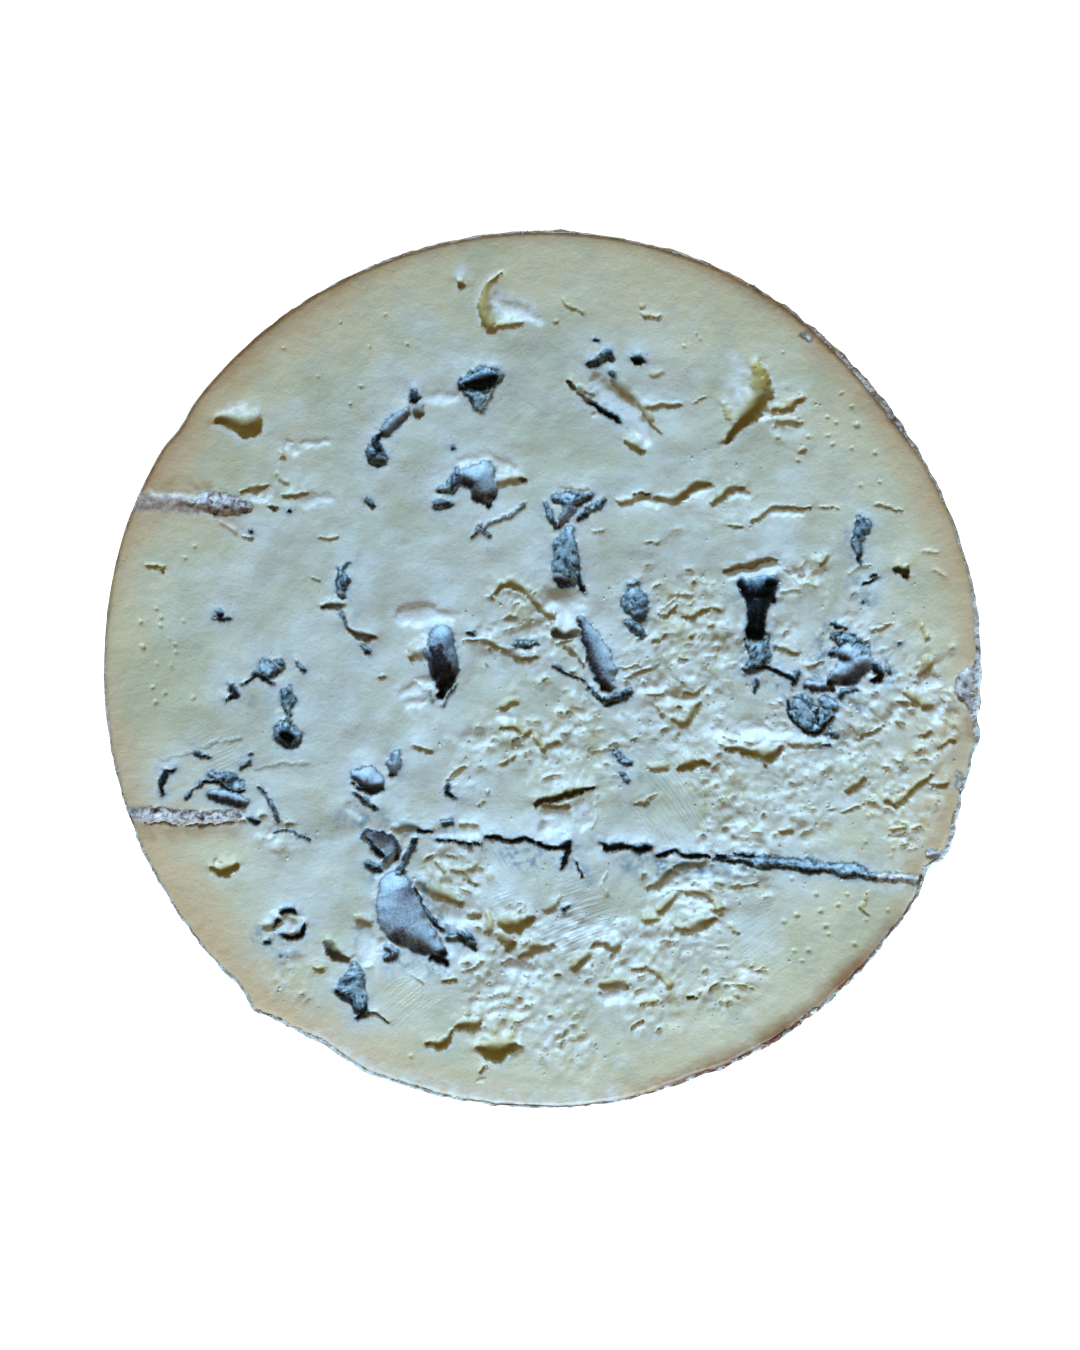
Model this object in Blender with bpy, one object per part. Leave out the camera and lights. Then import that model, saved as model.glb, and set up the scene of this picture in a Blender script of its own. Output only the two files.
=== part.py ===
"""Half of a tall cylindrical blue cheese, cut straight across.

It stands on its rinded end with the cut face up. One solid: the rind, the paste and the mould are one
piece of food, so the openings, torn clefts, needle tracks and flakes of the cut face are relief in it.
Sizes are in millimetres and turned into metres at the end. Z is up, and Y points to the top of the face.
"""

import math

import bmesh
import bpy
import numpy as np
from mathutils import noise

MM = 0.001

# Overall sizes
FACE_RADIUS = 65.06
FACE_CENTRE = (-0.4, 0.0)
HEIGHT = 95.0
FOOT_ROUNDING = 8.0
SIDE_SWELL = 0.35
RIM_DROP = 0.25
RIM_WIDTH = 1.2
EDGE_RELIEF = 0.35
EDGE_FADE = 3.0
REFINE_MARGIN = 2.2

# Mesh sizes
RINGS = 22
SIDE_LEVELS = 7
FOOT_LEVELS = 4
FINE_BAND = (1.2, 0.4)
SNAP_REACH = 0.36
SLOPE_STEP = 0.05
LEAST_SLOPE = 0.5
SEED_STEP = 37.3
FAR = 1e9
TINY = 1e-9

# Unevenness, in layers of (height, size of a lump, seed)
FACE_WAVES = ((0.26, 17.0, 5), (0.13, 6.0, 6))
TORN_CURD = ((0.34, 2.7, 7), (0.18, 1.4, 8))
LIP_WANDER = ((0.55, 1.7, 1), (0.22, 0.7, 2))
SIDE_WAVES = ((0.9, 34.0, 9), (0.42, 11.0, 10), (0.2, 4.5, 11))

# The crumbled lower right of the face, where the knife dragged the curd
TORN_SIDE = (0.5, -0.9)
TORN_FROM = 6.0
TORN_BLEND = 7.0
MOST_LUMP = 0.55
LUMP_SHOULDER = 1.5

# Walls of the openings: how sharply they bend, and how far their edge hangs
EASY_WALL = 1.4
STEEP_WALL = 3.8
LIP_SHARE = 0.2
CRISP_LIP = 0.35
SOFT_LIP = 0.9
TRACK_WALL = 0.6

# The side: it starts a little inside the crumbly rim and follows its larger dents only
UNDER_RIM = 0.45
SIDE_KEEPS_DENTS = 0.4

# Places where the rim leaves the circle: (angle in degrees, half width in degrees, offset)
RIM_DENTS = (
    (35.0, 13.0, -0.45),
    (146.0, 2.2, -0.55),
    (160.0, 9.0, 0.25),
    (229.5, 2.4, 1.1),
    (240.0, 4.0, -0.75),
    (290.0, 4.5, -0.5),
    (332.0, 1.8, -0.6),
    (336.5, 2.4, 1.1),
    (351.0, 1.8, 0.8),
)

# Openings of the face: (depth, direction of the steep wall in degrees, spine of (x, y, half width))
OPENINGS = (
    # Upper left
    (3.4, 300, ((-47.8, 37.0, 0.9), (-45.6, 37.1, 2.1), (-43.7, 36.2, 2.2))),
    (3.0, 270, ((-12.4, 57.2, 1.0),)),
    (2.0, 120, ((-6.4, 58.6, 0.6), (-8.7, 56.3, 0.9), (-9.3, 53.5, 0.9), (-8.3, 50.6, 1.0),
     (-4.6, 50.9, 0.9))),
    (4.2, 280, ((-11.5, 42.6, 1.4), (-9.4, 42.8, 1.7), (-8.0, 43.2, 1.1))),
    (2.0, 270, ((-9.6, 41.0, 1.4), (-9.5, 38.9, 0.6))),
    (2.2, 240, ((-19.0, 41.0, 0.9), (-19.4, 38.1, 1.1), (-23.0, 35.8, 0.8), (-25.0, 33.8, 0.9),
     (-24.8, 31.7, 1.5))),
    (3.8, 270, ((-12.6, 27.6, 1.2), (-9.3, 27.8, 2.3), (-8.4, 25.6, 1.6))),
    (2.8, 270, ((-5.6, 27.9, 0.9), (-3.0, 28.1, 0.8))),
    # Upper right
    (1.6, 270, ((6.7, 45.5, 0.8), (8.3, 46.3, 0.8), (9.7, 46.6, 1.0))),
    (2.6, 270, ((13.7, 45.9, 1.0),)),
    (3.2, 215, ((3.3, 42.8, 0.6), (5.7, 41.0, 0.9), (7.7, 39.0, 0.8), (9.7, 37.8, 0.9),
     (11.0, 36.6, 0.6))),
    (2.2, 250, ((10.3, 42.9, 0.9), (11.6, 41.0, 1.2), (13.2, 40.1, 1.2), (15.3, 37.3, 1.0))),
    (2.0, 250, ((12.3, 33.6, 0.7), (14.2, 32.7, 0.8))),
    (3.2, 315, ((31.0, 45.0, 0.9), (31.6, 42.5, 1.4), (32.0, 40.5, 1.6), (30.0, 38.2, 1.7),
     (27.2, 34.4, 0.9))),
    (2.2, 280, ((26.9, 39.4, 0.8), (28.4, 38.0, 1.2))),
    (2.2, 300, ((33.8, 38.6, 0.9), (36.0, 38.8, 1.0), (38.0, 40.3, 0.9))),
    (2.0, 270, ((11.1, 24.8, 0.8), (13.3, 25.6, 1.0), (16.4, 26.0, 0.7), (18.6, 25.0, 0.8),
     (22.8, 27.6, 0.8))),
    (1.8, 250, ((46.5, 22.6, 0.7), (47.2, 21.0, 1.2), (46.3, 18.8, 0.8), (46.4, 16.5, 0.5))),
    (3.6, 270, ((52.6, 15.1, 0.9), (53.4, 14.8, 0.8))),
    (2.2, 280, ((26.9, 14.5, 0.6), (29.0, 15.3, 0.7), (31.5, 15.9, 0.8), (33.2, 16.5, 0.7))),
    (7.0, 270, ((29.4, 12.6, 0.9), (31.6, 11.9, 2.0), (33.9, 12.9, 1.2))),
    (6.0, 280, ((31.6, 11.0, 2.0), (31.6, 8.8, 1.3), (31.5, 6.6, 1.3), (31.1, 5.2, 1.0))),
    (2.0, 270, ((31.6, 3.6, 1.6), (31.8, 1.4, 1.5), (31.2, 0.0, 0.8))),
    (4.2, 250, ((44.0, 2.4, 1.6), (46.4, 1.0, 1.7), (48.8, 0.2, 1.3), (49.4, -1.1, 1.0))),
    (3.6, 250, ((45.0, -0.2, 1.5), (43.0, -1.5, 1.3), (40.8, -2.4, 1.0), (39.4, -2.6, 0.8))),
    (2.0, 260, ((38.3, -4.3, 1.5), (39.0, -6.2, 1.9), (38.6, -7.9, 1.4))),
    (2.0, 260, ((42.3, -6.6, 1.0), (41.4, -8.4, 0.9), (43.0, -9.8, 0.6))),
    (1.7, 280, ((20.8, 7.8, 0.6), (22.6, 8.5, 0.8), (24.8, 9.1, 0.7))),
    # Middle
    (1.8, 240, ((2.4, 25.8, 0.9), (4.6, 25.0, 0.7), (6.3, 25.6, 0.8))),
    (2.0, 240, ((0.4, 24.0, 0.6), (2.2, 23.0, 1.2), (2.0, 21.4, 0.6))),
    (2.4, 270, ((2.8, 19.4, 1.1), (3.0, 17.0, 1.7), (3.1, 14.8, 1.9), (2.3, 13.3, 1.0))),
    (2.2, 270, ((5.1, 16.6, 0.6), (5.2, 13.7, 0.9), (5.2, 12.2, 0.6))),
    (2.3, 290, ((13.1, 12.6, 1.1), (13.2, 10.2, 1.8), (13.6, 8.4, 1.3), (14.2, 5.8, 0.9))),
    (2.2, 280, ((-7.6, 11.3, 0.6), (-6.4, 12.6, 0.8), (-4.8, 13.0, 0.9), (-3.2, 12.0, 0.8),
     (-0.4, 9.0, 0.8))),
    (2.6, 250, ((0.9, 7.6, 0.9), (2.2, 5.9, 1.3), (4.3, 5.2, 1.1), (3.6, 3.5, 0.9))),
    (4.4, 240, ((5.4, 7.2, 0.8), (6.4, 5.4, 1.4), (7.8, 2.5, 2.0), (8.8, -0.3, 2.0), (9.3, -2.3, 1.4))),
    (2.2, 260, ((10.2, -4.2, 1.2), (12.0, -4.0, 0.8))),
    (6.5, 270, ((-15.8, 4.0, 1.7), (-15.2, 1.8, 2.5), (-14.5, -0.6, 1.9), (-15.0, -2.6, 0.9))),
    (3.0, 230, ((-18.1, 3.8, 1.3), (-19.6, 2.5, 1.1))),
    (1.6, 280, ((-10.0, 4.3, 0.6), (-7.2, 3.7, 0.8), (-5.2, 2.9, 0.7), (-3.4, 1.9, 0.7),
     (-1.4, 2.0, 0.7))),
    (1.8, 280, ((20.4, -7.4, 1.1), (22.0, -6.5, 0.8), (23.3, -5.0, 0.6))),
    (1.8, 280, ((-3.0, -8.7, 0.8), (-0.8, -9.9, 0.9), (0.8, -11.3, 1.0))),
    # Left
    (1.8, 250, ((-29.7, 14.4, 0.7), (-29.9, 12.8, 1.0), (-30.4, 11.0, 0.8))),
    (2.8, 250, ((-32.6, 9.6, 0.6), (-31.0, 9.7, 1.3))),
    (3.0, 240, ((-28.8, 5.6, 0.9), (-26.2, 4.8, 0.8))),
    (1.8, 250, ((-42.4, -0.2, 0.7), (-41.0, 0.5, 1.4), (-39.5, 0.2, 1.2), (-40.9, -1.6, 0.9))),
    (2.2, 250, ((-38.0, -3.4, 1.1), (-38.0, -4.8, 1.2), (-38.0, -6.6, 0.6))),
    (3.6, 260, ((-38.1, -8.4, 1.2), (-38.2, -9.8, 1.9), (-37.2, -10.6, 1.2))),
    (1.6, 270, ((-56.5, -15.1, 0.6), (-56.6, -16.5, 0.9), (-56.9, -18.3, 0.7))),
    (2.6, 250, ((-49.4, -15.8, 0.8), (-48.0, -16.3, 1.0), (-46.4, -16.4, 1.1), (-45.4, -17.5, 0.8))),
    (2.4, 250, ((-49.0, -18.2, 0.7), (-47.4, -18.8, 0.8), (-46.2, -19.5, 0.9), (-44.7, -19.4, 1.0))),
    (2.4, 300, ((-48.6, -29.9, 0.9), (-47.4, -29.7, 0.9), (-45.8, -29.2, 0.7))),
    (3.0, 260, ((-38.3, -35.5, 0.8), (-39.4, -37.0, 1.1), (-41.2, -38.1, 0.7))),
    (3.0, 280, ((-38.6, -38.9, 1.0), (-37.2, -39.3, 0.9), (-36.0, -38.2, 0.9))),
    (3.0, 250, ((-32.0, -40.3, 1.0), (-31.5, -41.6, 1.2), (-29.8, -42.0, 0.9))),
    (2.6, 260, ((-27.9, -44.2, 1.0), (-28.3, -46.4, 1.6), (-28.3, -48.0, 1.7),
     (-27.3, -49.8, 1.3), (-27.4, -51.0, 0.9))),
    # Lower middle
    (3.4, 260, ((-27.8, -15.1, 0.9), (-26.5, -15.9, 1.6), (-25.6, -17.1, 1.5), (-25.0, -18.5, 1.0))),
    (3.0, 270, ((-26.2, -24.8, 1.3), (-24.0, -25.5, 1.6), (-22.8, -26.7, 1.5), (-23.3, -28.2, 1.2))),
    (2.4, 270, ((-23.4, -24.1, 0.9), (-21.4, -22.9, 1.0), (-19.5, -22.9, 0.8))),
    (6.0, 250, ((-23.0, -31.4, 1.9), (-22.2, -34.5, 2.9), (-21.0, -37.5, 3.1),
     (-18.5, -40.1, 2.4), (-15.7, -41.3, 1.4))),
    (2.2, 240, ((-17.8, -31.9, 1.1), (-15.3, -33.0, 1.2), (-13.2, -34.2, 0.9))),
    (2.2, 270, ((-1.2, -19.6, 0.7), (0.8, -19.0, 0.9), (3.0, -18.5, 0.9), (5.2, -17.9, 0.7))),
    (2.4, 300, ((-6.0, -37.7, 1.6), (-3.6, -37.5, 1.5), (-5.4, -39.3, 1.3))),
    (3.6, 290, ((-9.2, -56.0, 1.1), (-7.2, -56.1, 1.9), (-5.4, -55.7, 1.3))),
    (2.4, 280, ((-12.5, -52.3, 0.9), (-11.3, -52.1, 1.3), (-10.2, -52.3, 1.0))),
    (2.2, 290, ((4.4, -43.8, 1.0), (5.0, -42.8, 1.4))),
    (1.8, 280, ((9.6, -46.3, 1.2), (11.5, -46.8, 0.8))),
    # Lower right
    (2.2, 280, ((20.4, -14.2, 1.0), (21.4, -13.6, 1.0), (23.2, -13.3, 0.7))),
    (2.5, 280, ((29.5, -11.8, 1.0), (31.6, -12.0, 1.4), (34.2, -11.7, 1.1))),
    (1.8, 280, ((36.6, -10.9, 0.6), (38.6, -10.7, 0.8), (40.6, -10.7, 0.7))),
    (2.0, 290, ((21.0, -37.8, 1.3), (22.6, -37.5, 1.1), (24.4, -37.3, 0.8))),
    (1.8, 300, ((51.3, -19.7, 1.0), (52.6, -19.2, 0.7), (55.0, -16.9, 0.7))),
    (1.7, 290, ((55.4, -4.5, 1.0), (56.5, -5.2, 0.8))),
)

# The two rows where the cheese was pricked: (depth, spine of (x, y, half width))
NEEDLE_TRACKS = (
    (1.1, ((-66.0, 25.1, 1.2), (-54.0, 24.9, 1.2), (-47.5, 24.3, 1.9), (-40.0, 24.2, 1.2),
     (-28.0, 24.2, 0.7))),
    (1.0, ((-66.0, -21.6, 1.1), (-56.0, -22.0, 1.0), (-44.0, -22.6, 0.8), (-34.0, -24.8, 0.6))),
    (2.2, ((-16.5, -24.9, 0.6), (-9.5, -25.7, 0.6), (-6.5, -24.9, 0.7), (1.0, -26.4, 0.7),
     (3.6, -26.2, 0.9))),
    (2.4, ((8.6, -25.9, 0.7), (10.4, -26.4, 0.9), (14.5, -26.5, 0.9), (20.5, -27.3, 0.8),
     (26.5, -27.8, 0.8))),
    (1.2, ((28.0, -28.0, 0.9), (36.0, -28.8, 1.2), (44.0, -29.4, 1.2), (52.0, -30.6, 1.0),
     (66.0, -32.6, 1.0))),
)

# Pale lumps and flakes that stand up: (height, centre x, centre y, half width)
LUMPS = (
    (1.1, -25.6, -40.4, 2.3),
    (0.7, 2.6, 9.6, 2.6),
    (0.6, 10.0, 38.4, 1.5),
    (0.6, 13.6, 35.4, 1.4),
    (0.7, 32.6, 37.6, 1.3),
    (0.8, -6.2, 53.6, 2.2),
    (0.7, 1.6, -21.8, 2.0),
    (0.6, 10.2, -48.6, 1.6),
    (0.7, 22.6, -30.6, 2.4),
    (0.6, 21.0, -3.8, 2.2),
    (0.6, 56.4, -1.8, 1.4),
    (0.5, 16.0, 23.6, 3.2),
    (0.5, 30.0, -7.6, 3.6),
    (0.6, -21.0, -25.8, 1.1),
)


def unevenness(x, y, z, layers):
    """Smooth lumps added up from layers of (height, size of a lump, seed)."""
    total = np.zeros_like(x)
    for tall, size, seed in layers:
        level = z / size + seed * SEED_STEP
        total = total + tall * np.array([noise.noise((u, v, level)) for u, v in zip(x / size, y / size)])
    return total


def rim_radius(angle):
    """Radius of the cut face at an angle in radians."""
    degrees = np.degrees(angle)
    radius = np.full_like(degrees, FACE_RADIUS)
    for at, width, offset in RIM_DENTS:
        away = (degrees - at + 180.0) % 360.0 - 180.0
        radius = radius + offset * np.exp(-((away / width) ** 2))
    return radius


def spine_distance(x, y, spine):
    """Distance outside a chain of tapering strokes, with the stroke's half width and the way out of it."""
    best = np.full_like(x, FAR)
    width, out_x, out_y = np.ones_like(x), np.ones_like(x), np.zeros_like(x)
    ends = list(zip(spine, spine[1:])) or [(spine[0], spine[0])]
    for (ax, ay, ar), (bx, by, br) in ends:
        length = (bx - ax) ** 2 + (by - ay) ** 2
        along = np.clip(((x - ax) * (bx - ax) + (y - ay) * (by - ay)) / max(length, TINY), 0.0, 1.0)
        dx, dy = x - ax - along * (bx - ax), y - ay - along * (by - ay)
        radius, away = ar + along * (br - ar), np.hypot(dx, dy)
        nearer = away - radius < best
        best = np.where(nearer, away - radius, best)
        width = np.where(nearer, radius, width)
        out_x = np.where(nearer, dx / np.maximum(away, TINY), out_x)
        out_y = np.where(nearer, dy / np.maximum(away, TINY), out_y)
    return best, width, out_x, out_y


def ragged(x, y):
    """The places with a small wander added, which tears the edges of the openings."""
    return x + unevenness(x, y, 0.0, LIP_WANDER), y + unevenness(y, x, 0.0, LIP_WANDER)


def opening_drop(x, y, depth, steep, spine):
    """How far one opening lowers the face: crisp at its steep wall, with an easy slope across from it."""
    away, width, out_x, out_y = spine_distance(x, y, spine)
    towards = out_x * math.cos(math.radians(steep)) + out_y * math.sin(math.radians(steep))
    share = 0.5 + 0.5 * towards
    lip = LIP_SHARE * depth * (1 - share)
    inwards = np.clip(-away / width, 0.0, 1.0)
    bend = EASY_WALL + (STEEP_WALL - EASY_WALL) * share
    inside = lip + (depth - lip) * (1 - (1 - inwards) ** bend)
    outside = lip * np.exp(-np.maximum(away, 0.0) / (CRISP_LIP + SOFT_LIP * (1 - share)))
    return np.where(away < 0, inside, outside)


def nearest_lip(x, y):
    """Distance to the edge of the nearest opening or track, negative inside."""
    x, y = ragged(x, y)
    best = np.full_like(x, FAR)
    for spine in [o[2] for o in OPENINGS] + [t[1] for t in NEEDLE_TRACKS]:
        best = np.minimum(best, spine_distance(x, y, spine)[0])
    return best


def face_relief(x, y):
    """Height of the cut face above or below its plane."""
    height = unevenness(x, y, 0.0, FACE_WAVES)
    towards_torn = (x * TORN_SIDE[0] + y * TORN_SIDE[1] - TORN_FROM) / TORN_BLEND
    height = height + unevenness(x, y, 0.0, TORN_CURD) / (1 + np.exp(-towards_torn))
    for tall, at_x, at_y, wide in LUMPS:
        height = height + tall * np.exp(-(((x - at_x) ** 2 + (y - at_y) ** 2) / wide**2) ** LUMP_SHOULDER)
    height = np.clip(height, -MOST_LUMP, MOST_LUMP)
    rag_x, rag_y = ragged(x, y)
    drop = np.zeros_like(x)
    for depth, steep, spine in OPENINGS:
        drop = np.maximum(drop, opening_drop(rag_x, rag_y, depth, steep, spine))
    for depth, spine in NEEDLE_TRACKS:
        away, width, _, _ = spine_distance(rag_x, rag_y, spine)
        drop = np.maximum(drop, depth * np.clip(-away / width, 0.0, 1.0) ** TRACK_WALL)
    return height - drop


def face_disc():
    """A disc of even triangles: a filled hexagon, subdivided, with its rings made round."""
    mesh = bmesh.new()
    bmesh.ops.create_circle(mesh, cap_ends=True, cap_tris=True, segments=6, radius=1.0)
    bmesh.ops.subdivide_edges(mesh, edges=mesh.edges[:], cuts=RINGS - 1, use_grid_fill=True)
    bmesh.ops.triangulate(mesh, faces=mesh.faces[:])
    points = np.array([v.co[:2] for v in mesh.verts])
    first = math.atan2(*max((v.co.to_2d() for v in mesh.verts), key=lambda p: p.length).yx)
    angle = (np.arctan2(points[:, 1], points[:, 0]) - first) % (2 * math.pi)
    sector = np.floor(angle / (math.pi / 3))
    turn = angle - (sector + 0.5) * math.pi / 3
    ring = np.hypot(points[:, 0], points[:, 1]) * np.cos(turn) / math.cos(math.pi / 6)
    even = (sector + 0.5 + 0.5 * np.tan(turn) / math.tan(math.pi / 6)) * math.pi / 3
    radius = ring * rim_radius(even)
    for vertex, r, a in zip(mesh.verts, radius, even):
        vertex.co = (FACE_CENTRE[0] + r * math.cos(a), FACE_CENTRE[1] + r * math.sin(a), 0.0)
    return mesh


def refine(mesh, band):
    """Halves the edges that lie within a band on either side of a lip."""
    middles = np.array([((e.verts[0].co + e.verts[1].co) / 2)[:2] for e in mesh.edges])
    near = np.abs(nearest_lip(middles[:, 0], middles[:, 1])) < band
    inside = np.hypot(middles[:, 0], middles[:, 1]) < FACE_RADIUS - REFINE_MARGIN
    chosen = [e for e, n in zip(mesh.edges, near & inside) if n]
    bmesh.ops.subdivide_edges(mesh, edges=chosen, cuts=1, use_grid_fill=True)
    bmesh.ops.triangulate(mesh, faces=mesh.faces[:])


def snap_to_lips(mesh):
    """Moves the points nearest a lip onto it, so that the lips are crisp."""
    inner = [v for v in mesh.verts if not v.is_boundary]
    x, y = (np.array([v.co[i] for v in inner]) for i in (0, 1))
    reach = np.array([SNAP_REACH * min(e.calc_length() for e in v.link_edges) for v in inner])
    step = SLOPE_STEP
    away = nearest_lip(x, y)
    slope_x = (nearest_lip(x + step, y) - nearest_lip(x - step, y)) / (2 * step)
    slope_y = (nearest_lip(x, y + step) - nearest_lip(x, y - step)) / (2 * step)
    steepness = np.maximum(np.hypot(slope_x, slope_y), LEAST_SLOPE)
    for vertex, a, r, sx, sy, s in zip(inner, away, reach, slope_x, slope_y, steepness):
        if abs(a) / s < r:
            vertex.co.x -= a * sx / s**2
            vertex.co.y -= a * sy / s**2


def raise_face(mesh):
    """Lifts the disc to the top and gives it the relief."""
    x, y = (np.array([v.co[i] for v in mesh.verts]) for i in (0, 1))
    angle = np.arctan2(y - FACE_CENTRE[1], x - FACE_CENTRE[0])
    inwards = rim_radius(angle) - np.hypot(x - FACE_CENTRE[0], y - FACE_CENTRE[1])
    fade = EDGE_RELIEF + (1 - EDGE_RELIEF) * np.clip(inwards / EDGE_FADE, 0.0, 1.0)
    relief = face_relief(x, y) * fade - RIM_DROP * (1 - np.clip(inwards / RIM_WIDTH, 0.0, 1.0))
    for vertex, up in zip(mesh.verts, relief):
        vertex.co.z = HEIGHT + up


def side_profile():
    """(inset from the rim, height) of each level from under the cut down to the flat foot."""
    levels = []
    for i in range(1, SIDE_LEVELS + 1):
        share = i / SIDE_LEVELS
        height = HEIGHT - share * (HEIGHT - FOOT_ROUNDING)
        levels.append((-SIDE_SWELL * math.sin(math.pi * share), height))
    for i in range(1, FOOT_LEVELS + 1):
        turn = math.pi / 2 * i / FOOT_LEVELS
        levels.append((FOOT_ROUNDING * (1 - math.cos(turn)), FOOT_ROUNDING * (1 - math.sin(turn))))
    return levels


def close_sides(mesh):
    """Draws the rim down level by level, rounds the foot and fills the flat end."""
    edges = [e for e in mesh.edges if e.is_boundary]
    for inset, height in side_profile():
        made = bmesh.ops.extrude_edge_only(mesh, edges=edges)["geom"]
        verts = [g for g in made if isinstance(g, bmesh.types.BMVert)]
        x, y = (np.array([v.co[i] for v in verts]) for i in (0, 1))
        angle = np.arctan2(y - FACE_CENTRE[1], x - FACE_CENTRE[0])
        rough = unevenness(x, y, height, SIDE_WAVES) * min(height / FOOT_ROUNDING, 1.0)
        smooth_rim = FACE_RADIUS + SIDE_KEEPS_DENTS * (rim_radius(angle) - FACE_RADIUS)
        radius = smooth_rim - UNDER_RIM - inset + rough
        for vertex, r, a in zip(verts, radius, angle):
            vertex.co = (FACE_CENTRE[0] + r * math.cos(a), FACE_CENTRE[1] + r * math.sin(a), height)
        edges = [g for g in made if isinstance(g, bmesh.types.BMEdge)]
    foot = bmesh.ops.contextual_create(mesh, geom=edges)["faces"]
    bmesh.ops.triangulate(mesh, faces=foot)
    bmesh.ops.recalc_face_normals(mesh, faces=mesh.faces[:])


def plain_material(name, colour, roughness):
    """A plain surface in one colour."""
    material = bpy.data.materials.new(name)
    material.use_nodes = True
    shader = next(n for n in material.node_tree.nodes if n.type == "BSDF_PRINCIPLED")
    shader.inputs["Base Color"].default_value = (*colour, 1.0)
    shader.inputs["Roughness"].default_value = roughness
    material.diffuse_color = (*colour, 1.0)
    return material


def build_cheese():
    """The whole cut cheese as one object."""
    mesh = face_disc()
    for band in FINE_BAND:
        refine(mesh, band)
    snap_to_lips(mesh)
    raise_face(mesh)
    close_sides(mesh)
    for vertex in mesh.verts:
        vertex.co *= MM
    data = bpy.data.meshes.new("fourme")
    mesh.to_mesh(data)
    mesh.free()
    cheese = bpy.data.objects.new("fourme", data)
    data.materials.append(plain_material("fourme_paste", (0.66, 0.69, 0.62), 0.55))
    bpy.context.scene.collection.objects.link(cheese)
    return cheese


for old in list(bpy.data.objects):
    bpy.data.objects.remove(old)
build_cheese()
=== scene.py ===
"""Half of a blue cheese, cut straight across, dressed for a picture from straight above its cut face.

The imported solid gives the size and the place. The dressed cheese is made of a paste body, whose cut face
carries every opening, needle track and flake that shows, a dry rind round it, and loose curd, mould tufts
and rind bloom.
Sizes in this file are in millimetres and become metres when a mesh is made. The cut face is read like a map:
X to the right and Y to the top of the picture, with the origin at the centre of the cheese.
"""

from __future__ import annotations

import logging
import math
from dataclasses import dataclass
from enum import Enum

import bpy
import numpy as np
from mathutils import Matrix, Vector

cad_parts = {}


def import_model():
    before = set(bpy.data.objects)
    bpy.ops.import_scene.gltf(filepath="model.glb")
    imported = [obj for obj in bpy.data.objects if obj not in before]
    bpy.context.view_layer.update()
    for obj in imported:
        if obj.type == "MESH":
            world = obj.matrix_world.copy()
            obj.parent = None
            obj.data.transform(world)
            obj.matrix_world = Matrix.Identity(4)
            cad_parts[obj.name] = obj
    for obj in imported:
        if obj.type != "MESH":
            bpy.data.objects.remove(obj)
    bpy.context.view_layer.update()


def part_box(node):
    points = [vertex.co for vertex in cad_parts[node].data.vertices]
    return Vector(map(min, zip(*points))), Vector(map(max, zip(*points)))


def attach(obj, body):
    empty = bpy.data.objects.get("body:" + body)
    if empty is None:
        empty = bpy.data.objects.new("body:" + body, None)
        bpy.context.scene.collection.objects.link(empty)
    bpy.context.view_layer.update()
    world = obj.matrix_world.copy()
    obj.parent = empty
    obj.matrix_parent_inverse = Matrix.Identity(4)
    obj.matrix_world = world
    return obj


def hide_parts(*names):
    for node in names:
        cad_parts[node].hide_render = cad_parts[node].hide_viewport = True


LOG = logging.getLogger("cheese")
MM = 0.001
Array = np.ndarray
Spine = tuple[tuple[float, float, float], ...]
Socket = bpy.types.NodeSocket | str | float
SMOOTH = {"clamp": True, "interpolation_type": "SMOOTHSTEP"}
# Stands for farther than any place that matters
FAR = 9.0


class Lining(Enum):
    """What covers the inside of an opening."""

    PASTE = "bare torn paste"
    MOULD = "fuzzy blue mould"
    VELVET = "smooth grey velvet mould"
    BLACK = "deep black mould"
    BROWN = "olive brown paste"
    PINK = "pinkish grey growth of a needle hole"
    CRUST = "grey and white crust of the rind"


@dataclass(frozen=True)
class Opening:
    """One opening of the cut face.

    Args:
        lining: what covers its inside.
        depth: how deep it is at its spine.
        steep: direction of its steep wall, in degrees from +X.
        spine: its middle line, as places with a half width.
    """

    lining: Lining
    depth: float
    steep: float
    spine: Spine

    @property
    def fullness(self) -> float:
        """How much of the look of a deep opening it has, up to 1."""
        return min(self.depth / 2.2, 1.0)


class Stand(Enum):
    """How a plate or lump of curd stands."""

    LEDGE = "rises slowly and breaks off towards the top of the picture"
    DOME = "a white lump on the face"
    NUGGET = "a lump that stands in an opening"


@dataclass(frozen=True)
class Flake:
    """A plate or lump of curd that stands up.

    Args:
        height: how far it stands above the face.
        edge: the width over which it rises.
        spine: its middle line, as places with a half width.
        stand: how it stands.
    """

    height: float
    edge: float
    spine: Spine
    stand: Stand


@dataclass(frozen=True)
class Smear:
    """Mould or stain that lies on the surface.

    Args:
        strength: how strongly it covers, up to 1.
        spine: its middle line, as places with a half width.
    """

    strength: float
    spine: Spine


PASTE, MOULD, VELVET, BLACK, BROWN, PINK, CRUST = Lining
LEDGE, DOME, NUGGET = Stand

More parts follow.
